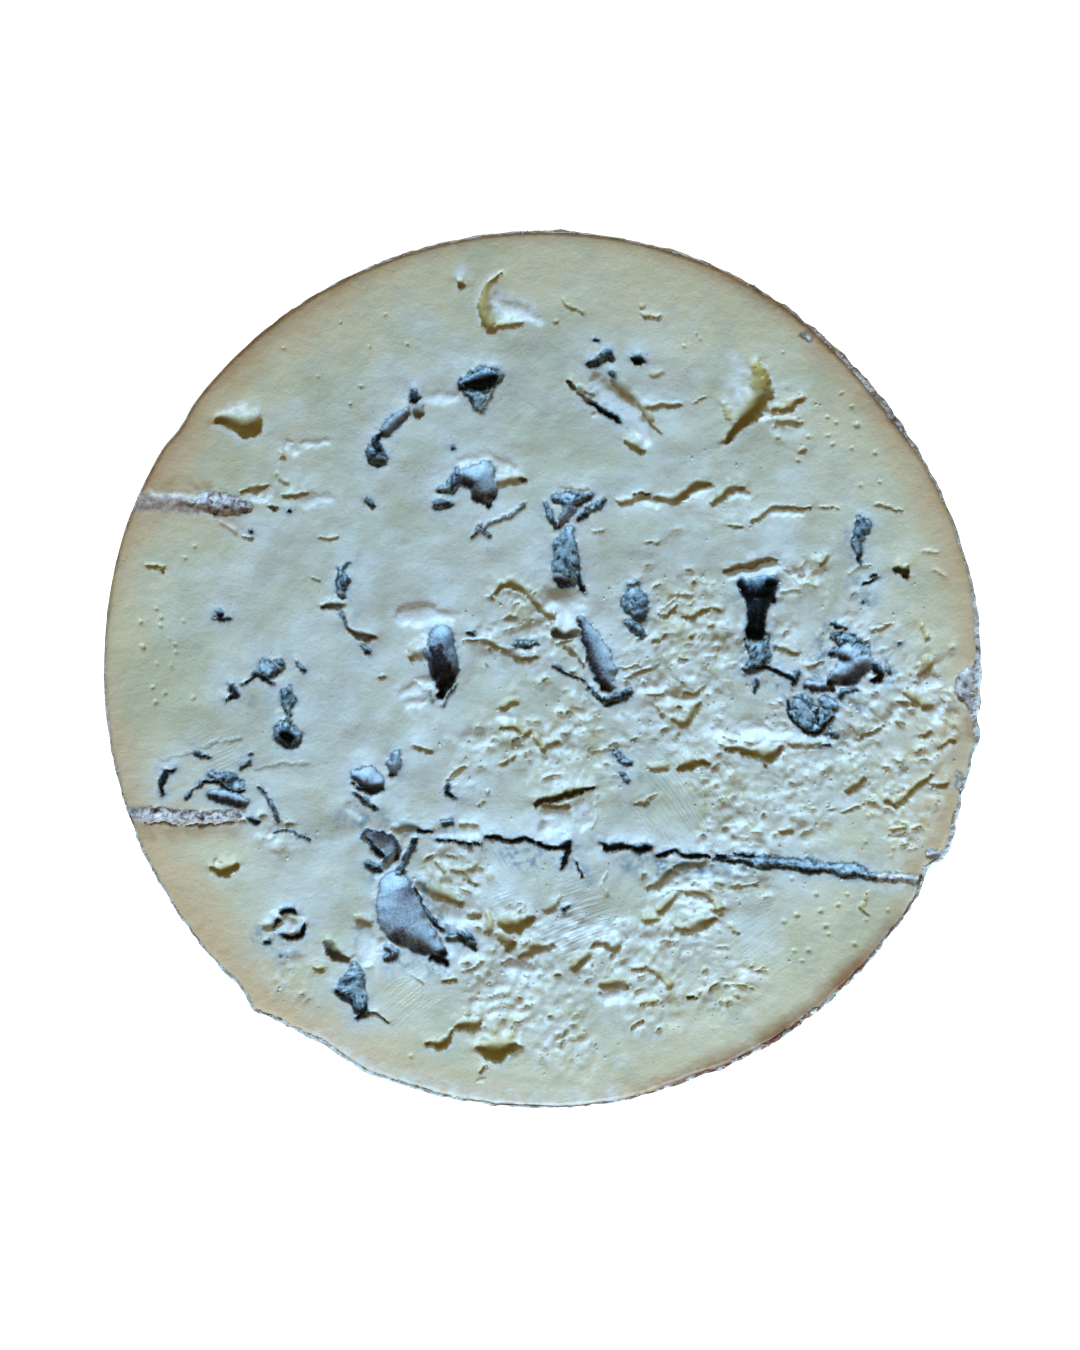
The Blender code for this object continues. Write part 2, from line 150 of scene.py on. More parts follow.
# Openings, as (lining, depth, direction of the steep wall, spine)
UPPER_LEFT = (
    (PASTE, 2.4, 295, ((-48.7, 37.0, 0.6), (-46.4, 37.1, 1.4), (-44.4, 36.7, 2.5))),
    (PASTE, 0.8, 270, ((-38.8, 32.2, 0.4), (-38.8, 31.4, 0.45))),
    (PASTE, 0.6, 270, ((-39.4, 28.9, 0.5), (-38.6, 28.0, 0.6))),
    (PASTE, 1.6, 270, ((-12.5, 57.4, 0.75), (-12.3, 56.9, 0.75))),
    (PASTE, 1.5, 150, ((-6.3, 58.6, 0.2), (-8.6, 56.5, 0.7), (-9.1, 54.0, 1.0), (-8.8, 52.0, 0.9),
        (-7.6, 50.8, 0.8))),
    (PASTE, 1.1, 270, ((-8.0, 50.6, 0.8), (-6.0, 50.9, 0.6), (-4.2, 51.1, 0.8), (-3.4, 51.2, 0.5))),
    (MOULD, 1.4, 270, ((-11.8, 42.2, 1.2), (-9.6, 42.9, 2.1), (-7.4, 43.5, 1.2))),
    (BLACK, 4.0, 285, ((-11.3, 42.4, 0.8), (-9.8, 42.9, 1.5), (-8.1, 43.3, 1.0))),
    (MOULD, 0.8, 270, ((-11.6, 40.9, 0.7), (-10.0, 40.4, 1.2), (-9.5, 38.7, 0.3))),
    (BLACK, 1.8, 240, ((-19.4, 41.3, 0.5), (-19.2, 40.3, 0.9))),
    (BROWN, 1.4, 250, ((-18.8, 39.2, 0.9), (-18.7, 37.9, 0.8))),
    (VELVET, 1.6, 250, ((-20.6, 38.2, 0.6), (-22.2, 36.9, 1.0), (-23.6, 35.2, 0.8))),
    (BLACK, 2.0, 250, ((-24.4, 34.6, 0.5), (-25.2, 33.6, 0.7), (-24.8, 32.9, 0.7))),
    (MOULD, 1.8, 250, ((-25.3, 32.4, 1.2), (-24.9, 31.4, 1.4))),
    (VELVET, 2.6, 265, ((-11.6, 28.4, 1.5), (-9.4, 28.6, 2.2), (-8.9, 26.6, 2.1), (-8.4, 24.6, 0.5))),
    (PASTE, 1.4, 270, ((-6.2, 28.1, 1.1), (-4.8, 28.2, 1.2), (-3.1, 28.3, 0.6))),
    (BROWN, 1.8, 270, ((-3.4, 28.1, 0.45), (-2.9, 28.4, 0.3))),
    (MOULD, 1.3, 260, ((-15.8, 26.5, 0.4), (-14.0, 26.9, 0.8), (-12.8, 28.4, 1.2), (-12.9, 29.6, 0.5))),
    (MOULD, 1.4, 270, ((-16.0, 24.5, 0.5), (-13.8, 24.6, 0.4))),
    (MOULD, 0.9, 270, ((-13.8, 32.7, 0.3),)),
    (MOULD, 1.0, 250, ((-26.4, 25.4, 0.35), (-25.5, 24.3, 0.45))),
    (PASTE, 0.5, 250, ((-27.4, 42.0, 0.5),)),
    (PASTE, 0.5, 250, ((-28.8, 39.2, 0.4),)),
)
UPPER_RIGHT = (
    (MOULD, 1.8, 270, ((6.6, 45.4, 0.55), (8.2, 45.9, 0.6), (9.3, 46.7, 0.7), (10.1, 46.1, 0.4))),
    (MOULD, 0.9, 270, ((7.4, 48.9, 0.3), (7.9, 48.7, 0.3))),
    (MOULD, 1.2, 260, ((9.6, 43.9, 0.3), (10.3, 43.5, 0.4))),
    (BLACK, 2.8, 270, ((13.6, 46.0, 0.8), (13.9, 45.8, 0.8))),
    (PASTE, 0.6, 270, ((14.3, 53.9, 0.5),)),
    (PASTE, 0.7, 270, ((14.6, 52.6, 0.7), (16.6, 52.3, 0.5))),
    (PASTE, 0.5, 220, ((2.7, 54.8, 0.4), (5.4, 52.8, 0.4))),
    (PASTE, 0.4, 270, ((1.5, 51.6, 0.5),)),
    (BROWN, 1.8, 215, ((3.6, 42.7, 0.35), (4.9, 41.5, 0.5), (6.2, 40.2, 0.5), (7.4, 39.5, 0.4))),
    (BLACK, 2.4, 215, ((6.4, 39.7, 0.25), (7.6, 39.1, 0.4), (9.6, 37.9, 0.5), (11.0, 36.6, 0.2))),
    (PASTE, 1.5, 230, ((5.4, 41.7, 0.5), (7.0, 40.8, 0.6))),
    (PASTE, 1.2, 240, ((10.4, 43.0, 0.8), (11.8, 41.6, 1.2), (13.1, 40.3, 1.1), (14.8, 38.5, 0.7),
        (15.5, 37.2, 0.8))),
    (PASTE, 1.1, 260, ((13.6, 39.6, 0.9), (16.2, 39.2, 0.7), (19.6, 39.3, 0.5))),
    (PASTE, 0.8, 240, ((15.4, 37.0, 0.6), (17.2, 35.1, 0.25))),
    (PASTE, 1.5, 250, ((12.3, 33.7, 0.6), (14.3, 32.7, 0.7))),
    (PASTE, 0.4, 270, ((16.2, 43.9, 0.8), (17.2, 44.2, 0.5))),
    (PASTE, 0.5, 270, ((22.2, 39.7, 0.2), (23.5, 40.4, 0.3))),
    (PASTE, 2.4, 305, ((31.2, 45.4, 0.7), (31.7, 43.2, 1.6), (32.0, 41.2, 1.8), (30.7, 39.2, 2.0),
        (29.2, 37.2, 1.6), (27.9, 35.6, 1.1), (26.6, 33.8, 0.4))),
    (PASTE, 1.2, 280, ((32.4, 42.6, 0.8), (33.6, 41.6, 0.4))),
    (PASTE, 0.8, 290, ((26.5, 39.4, 0.5), (27.6, 37.6, 0.9))),
    (PASTE, 1.2, 290, ((34.2, 38.7, 0.7), (36.0, 39.2, 1.0), (38.0, 40.3, 0.8))),
    (PASTE, 1.2, 290, ((34.4, 37.0, 0.7), (36.8, 36.9, 0.9))),
    (PASTE, 0.8, 290, ((38.2, 32.6, 0.6),)),
    (PASTE, 0.5, 290, ((37.3, 31.0, 0.35),)),
    (PASTE, 1.0, 270, ((10.8, 24.9, 0.5), (13.0, 25.5, 0.9), (15.0, 26.0, 0.9))),
    (BROWN, 1.4, 270, ((13.4, 26.1, 0.35), (15.6, 26.3, 0.3))),
    (PASTE, 1.2, 285, ((16.6, 25.6, 0.5), (18.7, 25.3, 0.9), (20.6, 26.3, 1.0), (22.6, 27.5, 0.9),
        (24.2, 27.8, 0.4))),
    (PASTE, 1.0, 290, ((24.8, 24.9, 0.5), (26.0, 26.0, 0.8), (27.6, 27.0, 0.7), (29.6, 26.7, 0.3))),
    (PASTE, 0.9, 285, ((30.8, 22.1, 0.4), (32.3, 23.4, 0.5), (34.2, 24.3, 0.5), (37.0, 24.2, 0.35),
        (39.4, 23.8, 0.25))),
    (PASTE, 0.8, 285, ((27.2, 21.6, 0.4), (29.0, 21.1, 0.35))),
    (PASTE, 0.6, 285, ((41.0, 24.0, 0.35), (43.4, 23.9, 0.2))),
    (PASTE, 0.6, 290, ((49.2, 24.4, 0.35), (51.2, 24.2, 0.35), (52.8, 23.6, 0.3))),
    (MOULD, 1.2, 250, ((46.3, 22.4, 0.5), (47.0, 21.2, 1.3), (46.4, 20.4, 1.0), (46.2, 18.6, 0.8),
        (46.4, 16.8, 0.4), (46.6, 15.8, 0.25))),
    (BROWN, 2.4, 270, ((52.5, 15.1, 0.9), (53.2, 14.9, 1.0), (53.4, 13.8, 0.4))),
    (BLACK, 1.6, 270, ((47.2, 12.8, 0.2), (48.8, 13.3, 0.25))),
    (MOULD, 0.9, 270, ((48.2, 13.9, 0.25), (49.2, 13.8, 0.25))),
    (MOULD, 0.8, 270, ((47.1, 10.0, 0.3),)),
    (PASTE, 0.9, 290, ((41.9, 16.9, 0.55), (41.0, 15.8, 0.4))),
    (PASTE, 1.4, 280, ((26.9, 14.6, 0.5), (29.2, 15.5, 0.7), (31.5, 16.1, 0.7), (33.3, 16.6, 0.55),
        (34.2, 16.3, 0.3))),
    (BROWN, 1.6, 280, ((26.7, 14.4, 0.25), (28.4, 15.0, 0.25), (30.2, 15.2, 0.25), (32.2, 15.9, 0.25),
        (33.4, 16.1, 0.15))),
    (BLACK, 6.0, 265, ((29.1, 13.0, 0.6), (30.7, 12.0, 1.7), (32.5, 12.2, 1.9), (33.7, 13.1, 1.0))),
    (BLACK, 6.0, 275, ((31.6, 10.4, 2.1), (31.4, 8.6, 1.5), (31.3, 7.0, 1.3), (31.3, 5.8, 1.6))),
    (BLACK, 4.0, 300, ((33.4, 11.2, 0.8), (34.0, 10.2, 0.3))),
    (MOULD, 1.4, 270, ((31.4, 4.4, 1.9), (31.8, 2.0, 1.6), (30.6, 0.2, 0.9), (29.4, 0.0, 0.4))),
    (BLACK, 1.6, 270, ((31.4, 0.4, 0.35), (33.6, 0.3, 0.4), (35.4, -0.6, 0.4), (36.9, -1.4, 0.6))),
    (MOULD, 1.0, 270, ((31.6, -1.6, 0.35), (30.9, -3.0, 0.3))),
    (PASTE, 1.1, 285, ((34.4, 3.6, 0.4), (36.3, 2.8, 0.55), (37.3, 2.3, 0.3))),
    (PASTE, 0.8, 285, ((38.8, 0.5, 0.4), (40.8, 1.2, 0.45))),
    (PASTE, 1.1, 280, ((17.4, 8.0, 0.5), (19.2, 8.6, 0.5), (19.4, 9.4, 0.3))),
    (PASTE, 1.2, 280, ((20.9, 7.7, 0.4), (22.5, 8.5, 0.55), (24.5, 9.1, 0.55), (25.9, 8.8, 0.35))),
    (PASTE, 0.9, 280, ((21.8, 5.0, 0.6),)),
    (PASTE, 1.2, 280, ((15.8, 4.4, 0.45), (16.6, 4.8, 0.7))),
    (PASTE, 0.5, 280, ((15.2, 18.9, 0.35), (16.6, 18.8, 0.3))),
    (PASTE, 0.5, 280, ((7.4, 20.6, 0.3), (8.6, 20.5, 0.25))),
)
MIDDLE = (
    (MOULD, 1.4, 250, ((1.6, 25.4, 0.6), (3.4, 25.2, 1.4), (5.2, 25.6, 0.8), (6.9, 25.9, 0.3))),
    (VELVET, 1.6, 250, ((3.6, 23.9, 1.1), (2.8, 22.4, 0.7), (2.2, 21.4, 0.3))),
    (BLACK, 1.4, 240, ((4.6, 24.4, 0.3), (5.6, 25.0, 0.35), (6.6, 25.5, 0.25))),
    (MOULD, 1.0, 250, ((-0.2, 24.4, 0.3), (0.5, 23.0, 0.6), (1.6, 21.4, 0.35))),
    (MOULD, 1.1, 300, ((4.8, 22.3, 0.4), (6.4, 23.6, 0.7), (8.8, 24.8, 0.5))),
    (MOULD, 1.5, 270, ((3.6, 20.4, 0.8), (2.9, 18.2, 1.8), (3.1, 15.6, 2.1), (3.2, 13.8, 1.8))),
    (VELVET, 1.8, 270, ((2.2, 13.7, 1.0), (3.4, 13.4, 0.7))),
    (BLACK, 1.6, 270, ((5.0, 14.2, 0.3), (5.2, 12.8, 0.45), (5.6, 11.7, 0.3))),
    (MOULD, 1.3, 285, ((13.0, 12.2, 1.0), (13.2, 10.0, 2.0), (13.8, 8.4, 1.3))),
    (MOULD, 1.2, 285, ((12.2, 6.9, 0.6), (13.4, 6.2, 0.9), (14.3, 5.0, 0.5))),
    (BROWN, 1.4, 270, ((12.6, 12.9, 0.4), (13.6, 12.9, 0.4))),
    (PASTE, 1.5, 285, ((-7.8, 11.1, 0.4), (-6.6, 12.5, 0.6), (-4.8, 13.0, 0.8), (-3.2, 12.0, 0.7),
        (-1.8, 10.4, 0.5), (-0.4, 9.0, 0.6), (0.9, 7.8, 0.6))),
    (BROWN, 2.0, 250, ((1.8, 5.6, 0.9), (3.0, 5.4, 1.0), (4.4, 5.8, 0.8))),
    (PASTE, 1.2, 250, ((3.4, 3.4, 0.8), (4.8, 2.2, 0.5), (5.6, 0.8, 0.3))),
    (VELVET, 2.6, 235, ((5.4, 7.2, 0.7), (6.6, 5.0, 1.3), (7.9, 2.5, 1.9), (8.7, 0.0, 1.8),
        (9.2, -2.0, 1.0))),
    (MOULD, 1.4, 260, ((8.6, -4.4, 0.5), (10.4, -4.2, 0.9), (12.4, -3.4, 0.6))),
    (BLACK, 1.6, 260, ((9.2, -4.9, 0.35), (10.8, -4.7, 0.4))),
    (MOULD, 0.9, 250, ((1.2, 0.6, 0.3), (3.2, -0.4, 0.25), (5.8, -1.6, 0.25), (7.0, -3.0, 0.35),
        (8.8, -4.8, 0.35))),
    (PASTE, 0.7, 285, ((11.0, 0.3, 0.25), (13.4, 0.5, 0.3))),
    (PASTE, 0.9, 285, ((12.0, -1.3, 0.35), (13.6, -0.5, 0.5), (15.9, 0.1, 0.3))),
    (VELVET, 5.0, 265, ((-15.2, 4.9, 1.7), (-15.4, 2.4, 2.4), (-14.9, 0.0, 2.0), (-14.8, -1.8, 1.3),
        (-15.6, -3.6, 0.5))),
    (BLACK, 5.0, 265, ((-15.9, 3.4, 1.2), (-15.3, 1.2, 1.8), (-14.8, -1.0, 1.4), (-15.6, -3.4, 0.5))),
    (PASTE, 1.4, 250, ((-17.6, 4.2, 1.4), (-18.9, 2.9, 1.3), (-20.0, 1.9, 0.6))),
    (PASTE, 1.2, 285, ((-11.6, 4.2, 0.3), (-9.6, 4.3, 0.5), (-7.2, 3.7, 0.6), (-5.4, 2.9, 0.5),
        (-3.6, 1.8, 0.6), (-1.4, 2.0, 0.5))),
    (MOULD, 1.0, 270, ((-4.0, 3.8, 0.6), (-2.6, 3.7, 0.6), (-1.2, 3.8, 0.3))),
    (MOULD, 1.2, 270, ((-11.4, 5.4, 0.3), (-10.6, 5.3, 0.4))),
    (PASTE, 0.8, 285, ((-24.2, -1.0, 0.55),)),
    (PASTE, 0.8, 285, ((21.0, -3.3, 0.5), (22.0, -3.7, 0.35), (23.8, -2.2, 0.25))),
    (PASTE, 1.1, 290, ((19.2, -7.2, 0.6), (20.6, -7.6, 0.9), (21.8, -6.4, 0.8), (23.2, -4.8, 0.4))),
    (PASTE, 0.9, 285, ((17.4, -6.6, 0.5), (16.6, -5.2, 0.3))),
    (PASTE, 0.9, 270, ((-6.0, -5.2, 0.9), (-4.8, -4.8, 0.9))),
    (PASTE, 1.0, 285, ((-6.6, -8.6, 0.45), (-4.2, -8.5, 0.6), (-2.9, -9.2, 0.8))),
    (PASTE, 1.1, 285, ((-1.2, -10.0, 0.7), (-0.4, -11.8, 0.5), (0.4, -11.0, 0.8), (1.6, -10.6, 0.8))),
    (PASTE, 0.9, 285, ((-6.6, -13.9, 0.4), (-4.8, -12.8, 0.35))),
)
LEFT = (
    (MOULD, 1.4, 250, ((-29.0, 15.9, 0.15), (-30.0, 14.8, 0.4), (-29.8, 13.2, 0.9), (-30.2, 11.4, 0.7))),
    (BROWN, 1.6, 260, ((-33.0, 9.4, 0.35), (-31.6, 9.6, 0.8), (-30.5, 9.8, 0.8))),
    (MOULD, 1.0, 250, ((-30.0, 8.4, 0.3), (-29.4, 6.8, 0.25))),
    (BROWN, 1.9, 245, ((-29.1, 6.2, 0.5), (-28.2, 5.5, 0.8), (-26.6, 4.9, 0.8), (-25.4, 4.9, 0.4))),
    (MOULD, 0.9, 250, ((-27.2, 3.6, 0.4), (-26.2, 2.8, 0.6))),
    (PASTE, 0.6, 270, ((-33.2, 19.6, 0.35), (-32.2, 19.4, 0.45), (-30.8, 19.7, 0.25))),
    (PASTE, 0.5, 280, ((-34.6, 13.3, 0.3), (-33.6, 13.1, 0.3))),
    (PASTE, 1.0, 280, ((-58.8, 15.3, 0.25), (-57.2, 15.3, 0.4), (-56.4, 15.2, 0.5), (-56.6, 14.5, 0.3))),
    (BLACK, 1.6, 260, ((-48.1, 8.5, 0.5), (-48.2, 8.2, 0.45))),
    (MOULD, 0.8, 260, ((-48.9, 7.6, 0.25), (-46.8, 7.7, 0.3))),
    (MOULD, 0.9, 250, ((-42.6, -0.6, 0.7), (-41.0, 0.3, 1.4), (-39.6, 0.6, 1.0))),
    (BLACK, 1.2, 250, ((-42.4, -0.9, 0.3), (-41.2, -1.3, 0.4), (-40.5, -1.9, 0.4))),
    (MOULD, 0.8, 250, ((-43.0, -1.2, 0.25), (-44.8, -2.0, 0.25))),
    (MOULD, 1.1, 260, ((-36.8, 1.0, 0.2), (-36.4, 0.5, 0.4), (-35.6, 0.1, 0.25))),
    (BLACK, 1.3, 250, ((-46.4, -2.1, 0.35), (-46.2, -3.2, 0.4), (-45.9, -3.9, 0.5), (-47.2, -4.5, 0.25))),
    (MOULD, 1.1, 250, ((-38.1, -3.3, 0.9), (-38.0, -4.5, 1.2), (-38.1, -6.4, 0.35))),
    (MOULD, 1.6, 250, ((-38.1, -7.4, 0.5), (-38.3, -8.2, 0.9))),
    (MOULD, 1.6, 260, ((-38.6, -9.4, 1.9), (-37.8, -9.8, 1.8), (-36.8, -10.6, 0.8))),
    (BLACK, 4.2, 260, ((-38.6, -9.5, 1.1), (-38.0, -9.9, 1.0))),
    (MOULD, 0.9, 250, ((-51.7, -12.2, 0.25), (-50.0, -13.0, 0.3))),
    (MOULD, 1.0, 250, ((-43.7, -12.5, 0.35),)),
    (MOULD, 1.0, 250, ((-43.8, -13.7, 0.3), (-45.0, -14.5, 0.3))),
    (BLACK, 1.6, 265, ((-54.9, -14.7, 0.25), (-56.4, -14.9, 0.35), (-56.6, -16.5, 0.6),
        (-56.8, -18.4, 0.4))),
    (BLACK, 1.6, 250, ((-50.2, -16.6, 0.3), (-48.6, -16.6, 0.4), (-47.0, -17.6, 0.35), (-45.6, -18.2, 0.3),
        (-44.6, -17.8, 0.2))),
    (MOULD, 0.9, 250, ((-49.4, -15.6, 0.5), (-47.0, -16.0, 1.0), (-45.6, -16.9, 1.1))),
    (VELVET, 1.2, 250, ((-49.2, -18.4, 0.7), (-47.6, -18.8, 1.0), (-46.2, -19.2, 1.2),
        (-44.8, -19.6, 0.9))),
    (MOULD, 0.8, 250, ((-50.6, -16.8, 0.25), (-52.2, -17.8, 0.3), (-53.0, -19.0, 0.35))),
    (MOULD, 0.9, 240, ((-42.4, -17.4, 0.2), (-40.8, -18.7, 0.25), (-40.0, -20.4, 0.4),
        (-39.5, -22.2, 0.25))),
    (BLACK, 1.1, 270, ((-44.0, -22.0, 0.25), (-42.8, -22.4, 0.45))),
    (PASTE, 1.8, 290, ((-49.2, -29.2, 0.5), (-48.2, -29.8, 0.9), (-47.0, -29.5, 1.1), (-45.7, -29.1, 0.7))),
    (PASTE, 1.2, 285, ((-40.8, -37.7, 1.2), (-39.6, -36.6, 1.3), (-38.0, -36.2, 1.0), (-37.2, -38.2, 1.6))),
    (BLACK, 2.4, 285, ((-38.9, -35.9, 0.5), (-37.6, -35.5, 0.55), (-36.8, -35.9, 0.3))),
    (BLACK, 2.4, 260, ((-39.6, -37.0, 0.45), (-40.2, -38.0, 0.35))),
    (BLACK, 2.4, 280, ((-38.6, -39.2, 0.4), (-37.4, -39.6, 0.55), (-36.1, -38.9, 0.5),
        (-35.7, -37.8, 0.3))),
    (MOULD, 1.2, 260, ((-41.6, -40.3, 0.3), (-41.0, -40.2, 0.4))),
    (MOULD, 0.6, 260, ((-39.2, -42.4, 0.25),)),
    (BROWN, 2.0, 250, ((-32.2, -40.2, 0.7), (-31.7, -41.3, 1.1), (-30.6, -42.2, 0.9), (-29.2, -42.4, 0.7))),
    (PASTE, 1.0, 250, ((-33.2, -44.2, 0.8), (-34.2, -44.0, 0.4))),
    (MOULD, 1.5, 260, ((-28.3, -43.4, 0.4), (-28.3, -45.6, 1.5), (-28.6, -47.4, 2.1), (-27.7, -48.8, 1.6),
        (-27.2, -50.4, 1.1))),
    (BLACK, 1.8, 260, ((-30.6, -47.5, 0.5), (-29.9, -48.2, 0.35))),
    (BLACK, 1.9, 260, ((-26.6, -49.2, 0.5), (-27.2, -50.6, 0.6), (-27.9, -51.5, 0.3))),
    (BROWN, 1.6, 260, ((-26.2, -50.8, 0.4), (-24.7, -51.0, 0.35), (-23.2, -52.2, 0.25))),
)
LOWER_MIDDLE = (
    (VELVET, 1.9, 270, ((-27.8, -15.6, 1.1), (-26.4, -15.8, 1.6), (-25.2, -16.8, 1.4))),
    (BLACK, 2.0, 265, ((-28.6, -16.9, 0.25), (-27.0, -17.6, 0.4), (-25.4, -17.9, 0.5),
        (-24.2, -17.7, 0.35))),
    (MOULD, 1.4, 250, ((-28.0, -18.4, 0.3), (-26.6, -19.4, 0.5), (-25.2, -20.4, 0.4))),
    (VELVET, 1.3, 250, ((-22.0, -12.4, 0.6), (-22.3, -13.9, 1.0), (-22.4, -15.3, 0.7))),
    (PASTE, 1.1, 270, ((-19.4, -11.5, 0.4), (-17.9, -11.9, 0.6), (-16.9, -12.1, 0.4))),
    (VELVET, 1.8, 100, ((-26.6, -24.4, 0.8), (-25.2, -25.2, 1.4), (-23.6, -25.8, 1.6), (-22.6, -27.0, 1.3),
        (-23.4, -28.4, 0.8))),
    (BLACK, 1.8, 270, ((-26.4, -24.8, 0.4), (-25.4, -26.2, 0.5), (-24.2, -27.2, 0.5))),
    (BLACK, 1.8, 270, ((-22.6, -25.0, 0.4), (-21.9, -26.6, 0.4), (-22.0, -28.0, 0.4))),
    (MOULD, 1.6, 270, ((-26.0, -28.6, 0.6), (-24.8, -29.3, 0.8))),
    (PASTE, 1.2, 270, ((-22.2, -23.5, 0.8), (-20.8, -22.7, 1.0), (-19.4, -22.9, 0.9), (-18.4, -23.6, 0.3))),
    (MOULD, 1.4, 250, ((-19.4, -25.0, 0.3), (-19.8, -26.8, 0.35), (-20.8, -28.8, 0.4),
        (-21.6, -30.2, 0.5))),
    (VELVET, 2.6, 295, ((-22.2, -32.4, 2.5), (-22.0, -34.8, 3.1), (-20.8, -37.4, 3.3), (-18.2, -39.9, 2.3),
        (-15.8, -41.5, 1.2))),
    (PASTE, 1.1, 250, ((-27.4, -36.8, 1.0), (-26.2, -37.0, 1.1))),
    (MOULD, 1.6, 250, ((-19.3, -32.4, 0.25), (-18.2, -34.8, 0.35), (-16.6, -36.9, 0.4),
        (-15.4, -38.6, 0.3))),
    (MOULD, 1.8, 250, ((-14.2, -39.6, 0.6), (-12.6, -39.4, 0.8), (-11.4, -39.8, 0.8), (-10.4, -41.0, 0.4))),
    (VELVET, 1.6, 260, ((-23.0, -41.2, 0.6), (-22.2, -42.0, 0.6), (-23.4, -42.8, 0.5))),
    (BLACK, 2.6, 260, ((-16.4, -42.6, 0.6), (-15.2, -42.8, 0.6), (-14.4, -43.4, 0.4))),
    (PASTE, 1.3, 250, ((-18.0, -31.6, 1.1), (-16.2, -32.4, 1.4), (-14.4, -33.4, 1.1), (-12.6, -34.4, 0.6))),
    (PASTE, 0.8, 250, ((-13.6, -29.4, 0.6), (-12.0, -29.6, 0.8), (-10.6, -28.8, 0.7))),
    (PASTE, 1.0, 250, ((-11.0, -36.0, 0.7), (-9.6, -36.2, 0.5))),
    (PASTE, 0.9, 250, ((-14.4, -27.6, 0.35), (-13.2, -27.7, 0.3))),
    (PASTE, 0.9, 250, ((-12.0, -29.9, 0.5), (-11.0, -31.4, 0.45), (-10.2, -31.9, 0.35))),
    (PASTE, 0.8, 250, ((-14.8, -29.8, 0.3), (-16.2, -28.4, 0.25))),
    (PASTE, 0.8, 250, ((-12.3, -22.9, 0.35), (-10.4, -22.8, 0.4))),
    (MOULD, 1.1, 250, ((-15.2, -22.6, 0.5), (-14.0, -22.6, 0.6))),
    (PASTE, 1.1, 200, ((-11.8, -14.5, 0.3), (-13.4, -15.2, 0.45), (-14.4, -16.4, 0.4))),
    (BLACK, 1.6, 200, ((-14.5, -17.2, 0.35), (-14.2, -18.4, 0.45), (-13.2, -19.1, 0.3))),
    (BROWN, 1.9, 275, ((-1.6, -19.9, 0.35), (-0.6, -19.2, 0.6), (1.2, -18.8, 0.8), (3.2, -18.3, 0.8),
        (5.2, -17.8, 0.55), (7.4, -17.4, 0.2))),
    (PASTE, 1.4, 280, ((-0.4, -19.9, 0.4), (2.0, -20.4, 0.5), (3.4, -20.2, 0.5))),
    (PASTE, 0.7, 250, ((-9.2, -19.6, 0.35), (-10.2, -20.2, 0.3))),
    (PASTE, 2.0, 285, ((-6.0, -37.2, 1.3), (-4.2, -37.4, 1.6), (-2.2, -37.0, 0.8))),
    (PASTE, 1.8, 280, ((-6.4, -39.2, 1.0), (-5.2, -40.0, 1.1), (-5.4, -41.4, 0.5))),
    (PASTE, 0.9, 270, ((-8.2, -38.4, 0.8), (-8.4, -36.0, 0.4))),
    (PASTE, 1.1, 290, ((-3.4, -42.4, 0.6), (-1.8, -41.2, 1.0), (0.6, -40.7, 0.7))),
    (PASTE, 0.7, 290, ((0.4, -35.4, 0.9), (2.0, -34.0, 0.6))),
    (BLACK, 1.2, 270, ((2.8, -35.6, 0.25), (3.7, -35.4, 0.25))),
    (PASTE, 1.2, 280, ((-14.7, -46.0, 0.45), (-13.4, -45.9, 0.5))),
    (PASTE, 0.7, 260, ((-12.2, -44.4, 0.3), (-10.2, -43.9, 0.3), (-9.0, -43.0, 0.3))),
    (PASTE, 0.5, 260, ((-19.6, -45.4, 0.2), (-18.3, -46.2, 0.2))),
    (PASTE, 2.5, 285, ((-9.4, -55.8, 0.9), (-8.0, -56.0, 1.5), (-6.8, -56.1, 1.8), (-5.4, -55.8, 1.3))),
    (PASTE, 1.0, 285, ((-8.8, -58.4, 0.5), (-9.4, -59.4, 0.3))),
    (PASTE, 1.7, 285, ((-13.0, -52.6, 0.7), (-11.5, -52.2, 1.2), (-10.2, -52.3, 1.0))),
    (PASTE, 1.6, 285, ((-17.5, -55.4, 0.4), (-15.8, -55.3, 0.7), (-14.6, -55.0, 0.8), (-13.6, -53.4, 0.3))),
    (PASTE, 1.2, 285, ((4.6, -43.8, 0.9), (5.0, -42.8, 1.4), (6.2, -42.2, 0.8))),
    (PASTE, 1.0, 285, ((7.2, -40.9, 0.5), (8.8, -40.6, 0.7), (10.3, -40.8, 1.0))),
    (PASTE, 1.0, 280, ((8.8, -46.6, 0.8), (10.2, -46.2, 1.2), (11.8, -47.0, 0.6))),
    (PASTE, 0.9, 285, ((13.0, -44.1, 0.4), (14.4, -44.4, 0.4))),
    (PASTE, 0.7, 260, ((15.0, -44.1, 0.5), (16.8, -44.9, 0.7), (18.3, -46.3, 0.8))),
    (PASTE, 0.8, 285, ((14.4, -49.4, 0.4), (16.2, -49.1, 0.7))),
    (PASTE, 0.8, 285, ((13.2, -52.8, 0.4), (14.4, -52.0, 0.45))),
    (PASTE, 0.6, 285, ((2.6, -54.2, 0.3), (3.3, -53.2, 0.4))),
)
